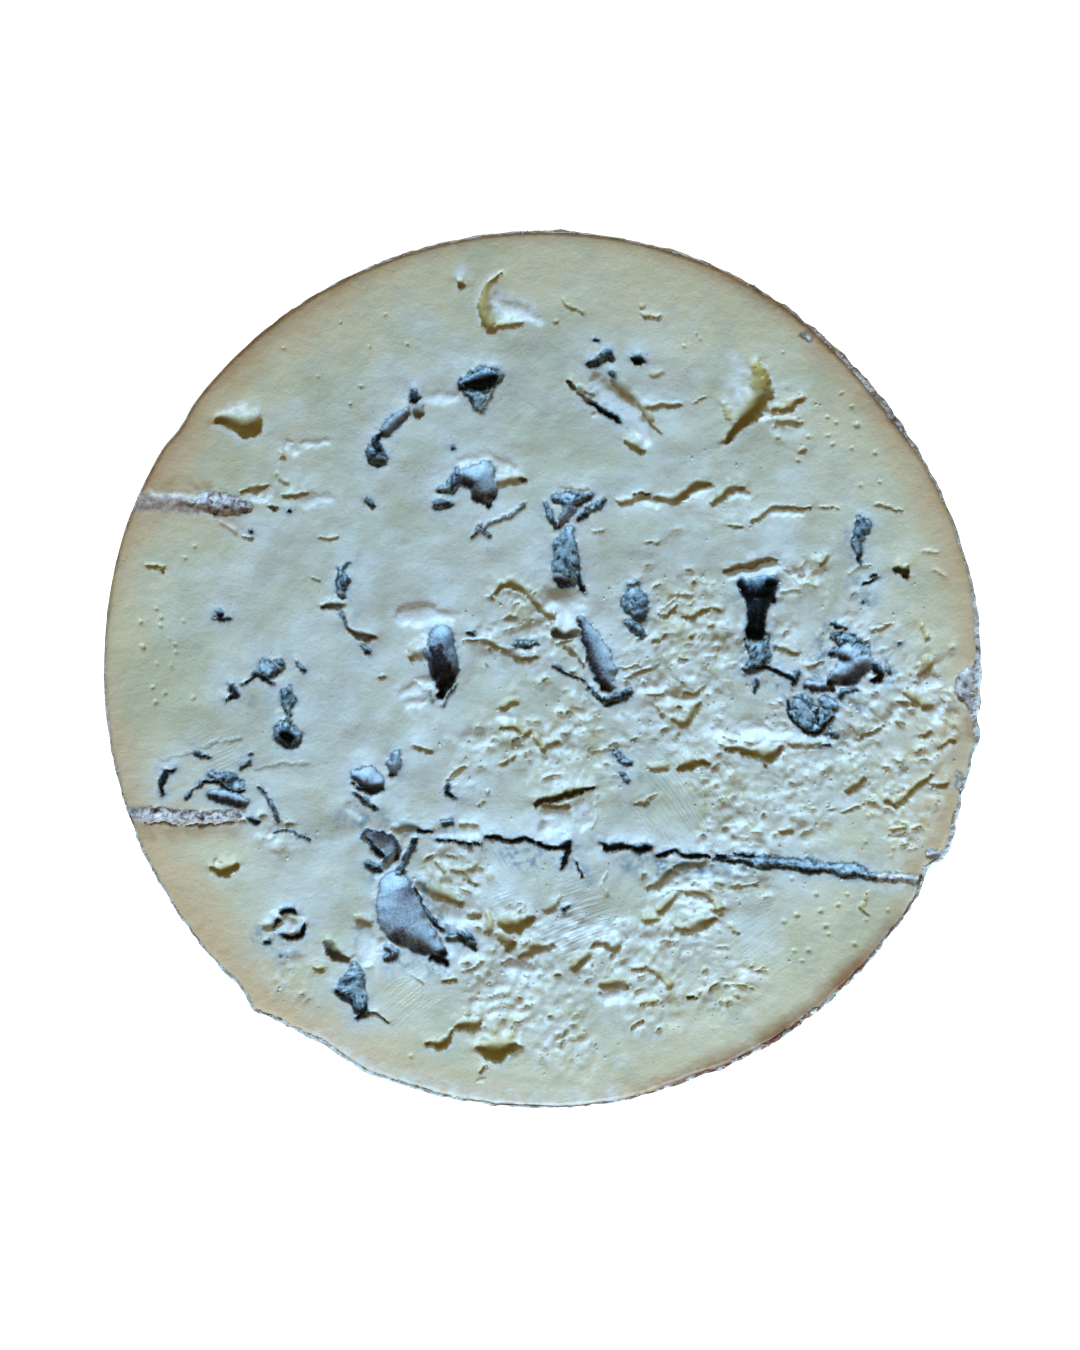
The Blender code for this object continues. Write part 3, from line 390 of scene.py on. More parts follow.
LOWER_RIGHT = (
    (PASTE, 1.8, 285, ((20.3, -14.2, 0.9), (21.6, -13.7, 1.3), (23.0, -13.3, 0.8), (24.4, -13.8, 0.25))),
    (PASTE, 0.7, 285, ((15.8, -14.3, 0.5), (17.8, -14.2, 0.6))),
    (PASTE, 2.1, 285, ((27.0, -11.4, 0.5), (29.4, -11.9, 0.9), (31.2, -12.0, 1.3), (33.0, -12.3, 1.5),
        (34.6, -11.5, 0.8))),
    (PASTE, 1.5, 285, ((32.8, -13.2, 0.6), (32.7, -14.4, 0.3))),
    (PASTE, 0.8, 285, ((26.0, -11.1, 0.3), (28.2, -11.2, 0.4))),
    (PASTE, 1.0, 280, ((36.2, -10.9, 0.5), (38.4, -10.7, 0.8), (40.4, -10.7, 0.7))),
    (BLACK, 1.2, 270, ((40.8, -11.4, 0.2), (42.0, -11.2, 0.2))),
    (MOULD, 1.3, 250, ((38.0, -4.6, 1.4), (38.3, -6.4, 2.1), (38.8, -8.0, 1.3))),
    (MOULD, 1.2, 250, ((41.2, -4.4, 0.7), (42.2, -5.6, 1.0), (41.2, -7.6, 1.0), (40.0, -9.0, 0.8))),
    (BLACK, 1.8, 240, ((36.1, -4.4, 0.2), (36.2, -6.4, 0.25), (37.2, -8.2, 0.3), (39.0, -9.2, 0.25),
        (40.8, -9.0, 0.3), (42.6, -7.2, 0.25))),
    (BLACK, 1.6, 250, ((40.4, -5.2, 0.25), (40.2, -6.6, 0.3), (40.4, -7.6, 0.2))),
    (MOULD, 1.2, 260, ((42.0, -9.4, 0.5), (43.2, -9.9, 0.4))),
    (MOULD, 1.2, 270, ((36.8, -2.0, 0.4), (37.4, -0.8, 0.45))),
    (MOULD, 1.0, 250, ((43.0, 5.2, 0.7), (44.8, 4.2, 1.4), (46.8, 3.2, 1.1), (42.8, 2.6, 0.8))),
    (VELVET, 2.4, 255, ((44.8, 2.6, 1.6), (46.4, 1.2, 1.9), (44.8, -0.2, 2.0), (42.6, -1.6, 1.0))),
    (BLACK, 2.4, 260, ((48.6, 0.8, 0.5), (49.4, -0.2, 0.8), (49.6, -1.2, 0.6), (48.6, -1.8, 0.4))),
    (MOULD, 0.8, 260, ((50.4, 1.0, 0.4), (50.9, -0.4, 0.3))),
    (VELVET, 1.3, 270, ((42.4, -2.4, 0.6), (40.6, -2.6, 0.8), (38.8, -2.3, 0.6))),
    (MOULD, 1.4, 250, ((45.6, -2.8, 0.4), (44.4, -3.2, 0.4), (43.8, -4.2, 0.35))),
    (BLACK, 1.3, 270, ((42.6, 6.9, 0.25), (43.6, 6.5, 0.5), (44.2, 6.3, 0.4))),
    (MOULD, 1.0, 270, ((43.6, 5.0, 0.5), (45.6, 4.6, 0.5), (46.8, 4.2, 0.3))),
    (MOULD, 0.8, 270, ((52.3, 3.9, 0.35),)),
    (PASTE, 0.7, 285, ((48.6, 5.9, 0.5), (50.2, 6.4, 0.5), (51.2, 6.9, 0.3))),
    (PASTE, 1.0, 290, ((56.2, 1.8, 0.8), (56.6, 0.8, 1.1), (55.5, -0.4, 0.6))),
    (PASTE, 0.7, 290, ((56.6, 4.6, 0.4), (55.8, 6.8, 0.35))),
    (PASTE, 1.2, 290, ((53.4, -3.2, 0.5), (55.2, -4.4, 1.0), (56.6, -5.2, 0.8))),
    (PASTE, 1.0, 290, ((55.6, -9.7, 0.4), (56.8, -9.5, 0.5))),
    (PASTE, 1.0, 290, ((46.4, -10.0, 0.4), (48.2, -9.4, 0.4), (50.0, -8.4, 0.25))),
    (PASTE, 0.9, 290, ((58.6, -11.4, 0.5), (60.6, -10.2, 0.5))),
    (PASTE, 1.0, 290, ((44.8, -17.8, 0.6), (45.6, -16.8, 1.1), (47.2, -16.0, 0.6))),
    (PASTE, 0.7, 290, ((42.3, -20.6, 0.5),)),
    (PASTE, 1.1, 290, ((50.6, -19.4, 0.6), (51.8, -19.7, 0.9), (52.8, -18.8, 0.7), (54.2, -17.6, 0.6),
        (55.6, -16.5, 0.6), (57.2, -15.6, 0.25))),
    (PASTE, 0.8, 290, ((44.4, -20.9, 0.25), (46.4, -19.9, 0.3), (48.4, -19.2, 0.4))),
    (PASTE, 1.0, 275, ((34.6, -24.0, 0.4), (36.2, -23.7, 0.65))),
    (PASTE, 0.7, 290, ((51.4, -23.7, 0.4), (53.2, -23.2, 0.5))),
    (PASTE, 0.9, 290, ((57.8, -17.2, 0.35), (59.6, -16.8, 0.5))),
    (PASTE, 0.6, 200, ((47.8, -32.8, 0.35), (47.4, -34.4, 0.25), (46.8, -35.1, 0.45), (47.8, -36.3, 0.2))),
    (PASTE, 1.6, 285, ((20.0, -38.2, 0.9), (21.4, -38.0, 1.3), (23.2, -37.4, 1.1), (25.0, -37.0, 0.7))),
    (PASTE, 1.0, 290, ((17.2, -35.4, 0.8), (18.2, -34.4, 0.9), (19.2, -33.6, 0.5))),
    (PASTE, 0.8, 285, ((14.6, -36.8, 0.7), (16.4, -36.6, 0.8))),
    (PASTE, 0.7, 265, ((21.0, -32.9, 0.5), (22.4, -32.3, 0.7), (24.2, -33.0, 0.9), (25.4, -34.2, 0.7),
        (26.0, -36.0, 0.6))),
    (PASTE, 0.8, 285, ((25.4, -31.6, 0.5), (26.4, -31.9, 0.4))),
    (PASTE, 0.7, 285, ((28.0, -32.0, 0.5), (29.6, -31.9, 0.4), (31.4, -31.8, 0.3))),
    (PASTE, 0.9, 290, ((15.2, -32.2, 0.4), (17.0, -31.0, 0.8), (18.6, -29.8, 0.8))),
    (PASTE, 1.0, 280, ((19.8, -29.0, 0.7), (21.4, -28.6, 0.9), (23.4, -28.5, 0.7))),
    (PASTE, 0.6, 290, ((27.6, -37.9, 0.45), (28.6, -38.9, 0.3))),
    (MOULD, 0.8, 250, ((10.2, -12.0, 0.35), (11.0, -13.2, 0.55), (12.6, -13.8, 0.3))),
    (MOULD, 0.6, 250, ((11.6, -15.4, 0.5), (12.2, -16.2, 0.4))),
    (PASTE, 0.7, 280, ((13.6, -19.7, 0.4), (14.8, -19.3, 0.8), (15.6, -18.6, 0.4))),
    (BROWN, 1.2, 270, ((21.4, -48.4, 0.35), (22.0, -48.4, 0.35))),
    (PASTE, 0.5, 290, ((22.8, -47.5, 0.35),)),
    (PASTE, 0.6, 290, ((27.0, -46.7, 0.45),)),
    (PASTE, 0.6, 290, ((28.6, -48.2, 0.4),)),
    (PASTE, 0.6, 290, ((31.6, -44.4, 0.25), (32.4, -43.8, 0.25))),
    (PASTE, 0.5, 290, ((30.8, -43.9, 0.35),)),
    (PASTE, 0.5, 290, ((30.4, -47.2, 0.35),)),
    (CRUST, 0.7, 200, ((64.0, 0.4, 0.5), (62.2, -1.4, 1.2), (62.0, -3.2, 1.3), (63.8, -5.4, 1.1),
        (65.0, -7.6, 0.8))),
    (CRUST, 0.7, 270, ((57.4, -27.2, 0.9), (59.4, -28.6, 1.2), (61.0, -30.2, 1.0))),
    (CRUST, 0.6, 270, ((61.3, -15.4, 0.5), (61.6, -17.2, 0.6))),
    (CRUST, 0.5, 270, ((38.2, 49.8, 0.5), (38.9, 49.2, 0.5))),
)

# The rows where the cheese was pricked, as (lining, depth, direction of the steep wall, spine)
NEEDLE_TRACKS = (
    (PINK, 0.6, 95, ((-65.0, 24.9, 1.3), (-56.0, 24.8, 1.3), (-51.0, 24.6, 1.4))),
    (CRUST, 0.9, 270, ((-53.4, 24.9, 0.4), (-50.4, 25.2, 1.3), (-48.0, 24.6, 1.9), (-45.6, 24.2, 1.3),
        (-43.8, 24.0, 0.6))),
    (PASTE, 1.1, 275, ((-44.6, 26.4, 0.5), (-42.8, 26.9, 0.7), (-41.0, 27.1, 0.4))),
    (PASTE, 1.2, 275, ((-38.4, 26.0, 0.5), (-36.8, 25.9, 0.6), (-35.2, 26.1, 0.3))),
    (BROWN, 1.2, 270, ((-40.6, 24.2, 0.5), (-39.8, 23.8, 0.4))),
    (BLACK, 1.2, 270, ((-37.9, 23.5, 0.35),)),
    (BLACK, 1.0, 260, ((-43.6, 20.5, 0.4),)),
    (PASTE, 0.8, 270, ((-44.6, 19.8, 0.3), (-43.4, 19.6, 0.35))),
    (PINK, 0.4, 80, ((-65.0, -22.0, 0.7), (-58.0, -22.2, 0.5), (-52.0, -22.4, 0.5), (-45.0, -22.4, 0.4))),
    (CRUST, 0.4, 270, ((-64.0, -20.9, 0.5), (-57.6, -21.1, 0.85), (-54.0, -21.3, 0.6), (-50.4, -21.6, 0.8),
        (-45.4, -21.5, 0.5))),
    (BROWN, 0.8, 90, ((-59.6, -22.7, 0.15), (-56.4, -22.6, 0.25), (-54.4, -23.0, 0.15), (-51.2, -22.9, 0.3),
        (-49.0, -23.0, 0.15), (-46.6, -22.6, 0.25), (-44.6, -22.3, 0.2))),
    (MOULD, 0.8, 90, ((-40.2, -23.9, 0.2), (-38.2, -23.8, 0.2), (-36.4, -24.4, 0.25),
        (-34.6, -24.9, 0.25))),
    (BLACK, 1.8, 270, ((-18.8, -23.6, 0.3), (-16.6, -23.9, 0.25))),
    (BLACK, 2.2, 275, ((-16.2, -25.0, 0.2), (-14.0, -25.5, 0.25), (-11.6, -25.7, 0.25),
        (-9.4, -25.7, 0.3))),
    (BLACK, 2.6, 275, ((-8.8, -24.9, 0.3), (-7.2, -24.7, 0.35), (-4.6, -25.3, 0.4), (-2.8, -25.1, 0.4),
        (-1.0, -26.0, 0.25), (0.8, -26.5, 0.35), (2.4, -26.3, 0.35), (3.6, -25.7, 0.5))),
    (BLACK, 2.2, 250, ((3.5, -26.2, 0.4), (3.2, -27.8, 0.45), (2.4, -29.4, 0.25))),
    (BLACK, 1.4, 250, ((4.6, -28.4, 0.25), (5.3, -30.6, 0.2))),
    (BLACK, 2.8, 270, ((8.4, -25.5, 0.25), (9.2, -26.4, 0.6), (10.6, -26.2, 0.55), (12.4, -26.3, 0.4),
        (13.6, -26.4, 0.7), (15.6, -26.4, 0.4))),
    (BLACK, 2.2, 270, ((16.8, -27.4, 0.35), (18.4, -27.1, 0.35), (19.4, -26.8, 0.3), (20.8, -27.3, 0.45),
        (22.6, -27.5, 0.45), (24.2, -27.8, 0.3))),
    (BLACK, 1.8, 270, ((25.8, -27.7, 0.4), (26.6, -27.8, 0.45))),
    (BLACK, 1.2, 270, ((28.0, -27.2, 0.2), (29.4, -27.4, 0.25), (30.8, -27.4, 0.35))),
    (MOULD, 0.8, 270, ((25.0, -27.9, 0.4), (29.0, -28.2, 0.7), (32.6, -28.4, 1.1), (36.0, -28.6, 0.8),
        (39.4, -29.2, 1.2), (42.4, -29.2, 0.9), (45.6, -29.8, 1.2), (48.6, -30.4, 0.7))),
    (BLACK, 1.2, 270, ((27.4, -28.4, 0.3), (30.4, -28.6, 0.25))),
    (BLACK, 1.2, 270, ((33.2, -29.2, 0.3), (35.4, -29.0, 0.2), (37.4, -29.4, 0.3), (40.6, -29.9, 0.3),
        (43.0, -29.9, 0.25))),
    (BLACK, 1.0, 270, ((45.6, -30.6, 0.25), (47.6, -30.4, 0.15))),
    (CRUST, 0.7, 270, ((47.8, -30.4, 0.5), (51.0, -30.8, 0.8), (54.6, -31.0, 0.7), (60.0, -31.6, 0.7),
        (64.0, -32.4, 0.8))),
)

# Plates and lumps of curd, as (height, width of the rising edge, spine, how it stands)
FLAKES = (
    (0.7, 0.7, ((7.4, 43.0, 0.7), (9.4, 40.4, 1.1), (12.0, 38.3, 1.5), (13.6, 36.0, 1.5),
        (15.0, 34.2, 0.8)), DOME),
    (0.55, 1.3, ((-7.2, 54.6, 0.9), (-5.8, 53.6, 1.5), (-3.4, 53.0, 1.3), (-1.0, 51.8, 0.6)), DOME),
    (0.6, 0.4, ((31.4, 37.4, 0.6), (32.8, 37.8, 0.8), (34.2, 37.6, 0.4)), LEDGE),
    (0.5, 0.35, ((14.8, 24.9, 0.7), (16.6, 24.4, 0.9)), LEDGE),
    (0.45, 0.35, ((20.6, 24.9, 0.6), (22.8, 26.2, 0.7), (24.6, 27.0, 0.5)), LEDGE),
    (0.45, 0.35, ((27.2, 25.6, 0.7), (28.6, 26.0, 0.7), (30.0, 25.7, 0.5)), LEDGE),
    (0.4, 0.35, ((33.6, 23.1, 0.5), (35.8, 23.3, 0.6), (38.4, 23.2, 0.4)), LEDGE),
    (1.4, 2.4, ((1.6, 10.2, 2.2), (3.2, 9.6, 2.6)), DOME),
    (-0.1, 0.5, ((-38.5, -37.2, 0.8), (-37.5, -38.0, 1.0)), NUGGET),
    (0.45, 0.8, ((-27.2, -38.8, 1.0), (-26.4, -40.6, 1.6), (-26.8, -42.8, 1.3)), DOME),
    (0.8, 0.8, ((-24.0, -40.3, 1.1),), NUGGET),
    (0.25, 0.6, ((-20.5, -24.8, 0.7), (-20.9, -26.6, 0.5), (-21.4, -28.0, 0.3)), NUGGET),
    (0.8, 0.9, ((0.4, -21.4, 0.9), (2.4, -22.4, 1.4), (0.2, -23.4, 1.1)), DOME),
    (0.6, 0.9, ((5.0, -20.4, 1.2), (5.6, -22.2, 1.4)), DOME),
    (0.55, 0.7, ((9.0, -48.4, 0.9), (10.8, -48.1, 1.0)), DOME),
    (0.55, 1.0, ((18.4, -32.0, 1.0), (21.0, -30.8, 1.3), (24.0, -30.3, 1.3)), DOME),
    (0.55, 0.45, ((17.8, -3.9, 0.6), (20.4, -4.6, 0.8), (22.2, -4.6, 0.5)), LEDGE),
    (0.65, 0.7, ((55.8, -1.9, 1.0), (57.2, -1.7, 1.0)), DOME),
    (0.0, 0.4, ((47.4, -1.0, 0.5), (48.3, -0.5, 0.3)), NUGGET),
    (0.1, 0.4, ((8.1, -2.8, 0.35), (9.3, -3.5, 0.45)), NUGGET),
    (0.45, 0.35, ((7.6, -41.4, 0.5), (8.2, -41.4, 0.5)), NUGGET),
    (0.45, 0.4, ((-41.8, 25.5, 0.6), (-40.6, 26.1, 0.7)), NUGGET),
    (0.4, 0.35, ((7.0, 37.7, 0.35), (8.0, 37.8, 0.4)), LEDGE),
    (0.3, 0.35, ((-9.8, -60.7, 0.35), (-8.9, -60.5, 0.45)), LEDGE),
    (0.45, 0.35, ((2.8, 26.7, 0.35), (6.4, 26.4, 0.35)), LEDGE),
    (0.35, 0.4, ((27.4, 13.7, 0.5), (29.6, 14.3, 0.55), (31.8, 14.8, 0.6), (34.2, 15.3, 0.55)), NUGGET),
    (0.4, 0.5, ((33.8, 15.4, 0.3), (36.0, 14.6, 0.4), (38.0, 13.4, 0.4)), DOME),
    (0.45, 1.2, ((25.6, -9.2, 1.0), (29.0, -9.0, 1.5), (32.6, -9.2, 1.4), (35.2, -9.4, 0.8)), DOME),
    (0.45, 0.5, ((-4.8, 11.2, 0.6), (-3.6, 10.0, 0.7)), LEDGE),
    (0.5, 0.6, ((24.8, -34.2, 0.3), (24.9, -35.6, 0.3)), LEDGE),
    (0.45, 0.5, ((51.0, -25.0, 0.3), (53.6, -24.8, 0.4)), LEDGE),
    (0.35, 0.4, ((-48.6, -28.2, 0.4), (-47.6, -28.7, 0.35)), LEDGE),
    (0.35, 0.4, ((-61.0, -21.0, 0.4), (-58.2, -21.3, 0.5), (-55.0, -21.4, 0.4), (-51.6, -21.8, 0.5),
        (-48.4, -21.9, 0.35), (-45.0, -21.4, 0.5)), DOME),
    (0.4, 0.6, ((-14.6, -24.4, 0.5), (-15.8, -24.2, 0.8)), DOME),
    (0.4, 0.7, ((-12.8, -24.3, 0.7), (-10.8, -24.0, 0.9)), DOME),
    (0.5, 1.0, ((-5.4, -43.8, 0.9), (-3.4, -44.4, 1.3), (-1.4, -44.2, 0.8)), DOME),
    (0.35, 0.6, ((-4.4, 29.7, 0.4), (-8.4, 31.5, 0.6), (-12.6, 31.0, 0.4)), DOME),
    (0.35, 0.5, ((-38.0, 33.5, 0.5), (-37.2, 32.4, 0.5)), DOME),
    (0.3, 0.4, ((-35.6, 33.3, 0.3), (-34.0, 33.7, 0.3), (-32.4, 33.4, 0.3)), DOME),
    (0.4, 0.6, ((-43.0, 25.8, 0.7), (-42.2, 25.7, 0.7)), DOME),
    (0.35, 0.8, ((-35.8, 24.8, 0.8), (-32.0, 25.4, 0.7)), DOME),
    (0.35, 0.8, ((-17.6, 40.6, 0.8), (-15.4, 40.2, 1.0), (-13.4, 40.4, 0.7)), DOME),
    (0.45, 0.6, ((4.2, 4.6, 0.5), (5.4, 3.2, 0.6)), NUGGET),
    (0.4, 0.8, ((-20.8, -3.6, 0.8), (-18.6, -2.2, 1.3), (-17.4, -1.6, 0.8)), DOME),
    (0.35, 0.6, ((-18.0, -4.6, 0.4), (-20.4, -5.2, 0.5)), DOME),
    (0.45, 0.9, ((-6.6, -7.0, 0.6), (-5.0, -7.1, 0.6)), DOME),
    (0.5, 1.6, ((-10.6, 4.9, 0.7), (-8.6, 5.6, 1.0)), DOME),
    (0.45, 1.4, ((-14.8, -36.2, 1.4), (-12.4, -36.8, 1.4)), DOME),
    (0.45, 0.8, ((58.6, -5.2, 0.8), (57.8, -7.0, 0.8)), DOME),
    (0.5, 0.8, ((52.4, -5.6, 0.6), (51.4, -6.6, 0.8)), DOME),
    (0.4, 0.6, ((-29.0, -20.4, 0.6), (-27.4, -21.4, 0.6)), DOME),
    (0.55, 0.9, ((-20.6, 8.0, 1.6), (-17.4, 8.2, 1.6), (-14.2, 7.8, 0.8)), DOME),
    (0.5, 0.8, ((14.0, -2.6, 0.8), (17.0, -2.2, 1.0)), DOME),
)

# Fine creases and knife lines, as (depth, how dark they are painted, partly for mould in them and partly as
# painted shade in the cut, spine)
CREASES = (
    (0.5, 0.9, ((-3.0, 24.6, 0.14), (-5.0, 22.9, 0.18), (-9.0, 21.3, 0.16))),
    (0.6, 0.9, ((-10.6, 19.8, 0.12), (-9.5, 21.0, 0.3), (-8.3, 20.1, 0.2))),
    (0.15, 0.3, ((-57.0, -13.4, 0.14), (-53.6, -12.5, 0.16), (-51.4, -11.6, 0.18), (-48.0, -10.6, 0.16),
        (-45.0, -10.2, 0.12))),
    (0.15, 0.3, ((-42.6, -14.4, 0.14), (-39.0, -13.8, 0.16), (-35.2, -13.9, 0.12))),
    (0.5, 0.0, ((34.6, 15.6, 0.14), (36.6, 14.4, 0.2), (38.0, 12.9, 0.16), (40.0, 12.2, 0.12))),
    (0.4, 0.0, ((35.2, 11.6, 0.2), (37.6, 11.9, 0.14))),
    (0.3, 0.0, ((44.8, 14.4, 0.12), (46.4, 15.5, 0.2), (48.4, 15.4, 0.14))),
    (0.3, 0.0, ((57.6, 14.9, 0.14), (59.2, 14.2, 0.16))),
    (0.3, 0.0, ((56.2, 17.7, 0.16), (58.0, 17.4, 0.12))),
    (0.4, 0.0, ((9.0, -30.0, 0.1), (8.2, -31.8, 0.16), (9.0, -33.0, 0.22))),
    (0.4, 0.0, ((7.0, -12.4, 0.12), (8.6, -12.2, 0.18), (10.2, -11.6, 0.14))),
    (0.4, 0.0, ((7.2, -19.8, 0.14), (7.6, -21.6, 0.18), (6.9, -23.4, 0.2))),
    (0.4, 0.0, ((-26.9, -44.2, 0.15), (-25.4, -44.0, 0.14))),
    (0.4, 0.4, ((31.2, 3.8, 0.1), (30.0, 1.2, 0.2), (29.6, -0.6, 0.2))),
    (0.4, 0.0, ((-47.8, 21.6, 0.12), (-46.4, 20.8, 0.18), (-45.9, 20.2, 0.16))),
    (0.4, 0.0, ((16.4, 8.0, 0.1), (20.0, 11.2, 0.14), (21.8, 11.3, 0.16))),
    (0.4, 0.0, ((22.8, 13.6, 0.12), (23.8, 12.8, 0.18))),
    (0.4, 0.0, ((-19.2, -1.4, 0.16), (-17.8, -2.8, 0.18))),
    (0.5, 0.9, ((-12.7, 42.2, 0.16), (-11.2, 40.2, 0.2), (-9.5, 38.2, 0.2))),
    (0.5, 0.8, ((-6.8, 43.2, 0.14), (-8.0, 41.2, 0.2), (-9.3, 38.3, 0.2))),
    (0.5, 0.9, ((-13.0, -2.0, 0.2), (-14.2, -3.6, 0.2), (-15.2, -5.0, 0.16))),
    (0.4, 0.7, ((-17.3, -3.2, 0.2), (-16.8, -4.4, 0.25))),
)

# Mould that colours the surface round the veins, as (strength, spine)
MOULD_SMEARS = (
    (0.8, ((-6.0, -26.8, 0.8), (-2.5, -28.0, 1.4), (0.0, -27.4, 0.8))),
    (0.7, ((4.4, -28.0, 0.6), (6.4, -30.6, 0.5))),
    (0.8, ((12.0, -28.6, 0.8), (17.0, -29.0, 0.9), (24.0, -29.6, 0.6), (31.0, -29.8, 0.6))),
    (0.6, ((-30.0, -22.0, 0.8), (-24.0, -22.5, 0.9), (-14.0, -25.0, 0.8))),
    (0.6, ((-42.0, -39.5, 1.0), (-38.0, -41.0, 0.8))), (0.8, ((-25.8, -29.5, 0.8), (-24.8, -33.0, 0.6))),
    (0.9, ((-18.2, -31.5, 0.5), (-17.0, -35.5, 0.5), (-14.6, -38.6, 0.7), (-12.0, -40.0, 1.2))),
    (0.6, ((-23.0, -43.0, 0.8), (-16.0, -44.2, 1.0))),
    (0.8, ((29.6, 3.8, 0.7), (29.6, 0.0, 0.9), (33.0, -0.8, 0.8), (36.4, -3.0, 1.0))),
    (0.7, ((44.0, -4.0, 1.0), (47.0, -5.2, 0.6))),
    (0.8, ((41.6, 5.6, 0.9), (40.8, 1.6, 0.9), (40.0, -2.0, 0.8))),
    (0.7, ((50.8, 0.4, 0.6), (51.6, -1.6, 0.6))), (0.6, ((46.0, 12.4, 1.2), (48.0, 10.2, 1.0))),
    (0.7, ((45.2, 19.8, 0.9), (46.4, 16.0, 0.5))),
    (0.55, ((-50.4, 26.4, 0.5), (-47.6, 25.4, 0.9), (-45.6, 24.2, 0.8))),
    (0.5, ((-27.6, 17.0, 0.0), (-29.4, 14.4, 0.6))), (0.45, ((-22.0, -11.6, 0.8), (-22.4, -14.0, 1.4))),
    (0.45, ((-45.8, -19.0, 1.2), (-47.6, -17.0, 1.8))),
    (0.4, ((10.4, -12.0, 0.7), (12.4, -14.8, 1.2), (16.8, -16.8, 0.7))),
    (0.35, ((14.6, -19.4, 1.0), (12.0, -20.4, 0.4))), (0.55, ((-3.8, -26.9, 0.8), (-1.4, -27.6, 0.9))),
    (0.6, ((2.8, -24.5, 0.8),)), (0.5, ((5.0, -26.2, 0.9), (7.4, -24.8, 0.6))),
    (0.6, ((15.4, -28.0, 0.9), (15.8, -30.0, 0.9))), (0.45, ((33.0, 5.0, 1.2), (33.4, 2.0, 1.2))),
    (0.45, ((29.4, 11.0, 0.6), (27.8, 10.4, 0.8))), (0.55, ((41.4, -5.8, 1.0), (42.6, -4.0, 1.0))),
    (0.5, ((44.8, 4.2, 1.2), (42.4, 2.4, 0.8))),
    (0.4, ((49.2, 3.4, 0.8), (50.6, 1.0, 0.6), (50.4, -2.0, 0.6))),
    (0.45, ((-4.0, 3.7, 0.9), (-1.6, 3.6, 0.6))), (0.45, ((-26.8, -38.8, 0.8), (-27.4, -39.4, 0.5))),
    (0.45, ((-21.4, -43.6, 1.1), (-23.0, -44.2, 0.6))), (0.3, ((-39.2, -40.8, 0.8), (-36.8, -41.0, 0.8))),
    (0.4, ((-27.0, 9.0, 0.0), (-28.2, 8.0, 0.5))), (0.45, ((47.2, 12.0, 1.0), (48.4, 11.6, 0.8))),
    (0.3, ((7.2, 44.2, 0.8), (8.4, 47.6, 1.0))), (0.35, ((-46.0, -3.2, 1.0), (-38.4, -6.0, 1.0))),
    (0.35, ((-25.0, -29.8, 1.2), (-20.6, -31.0, 1.2))),
)
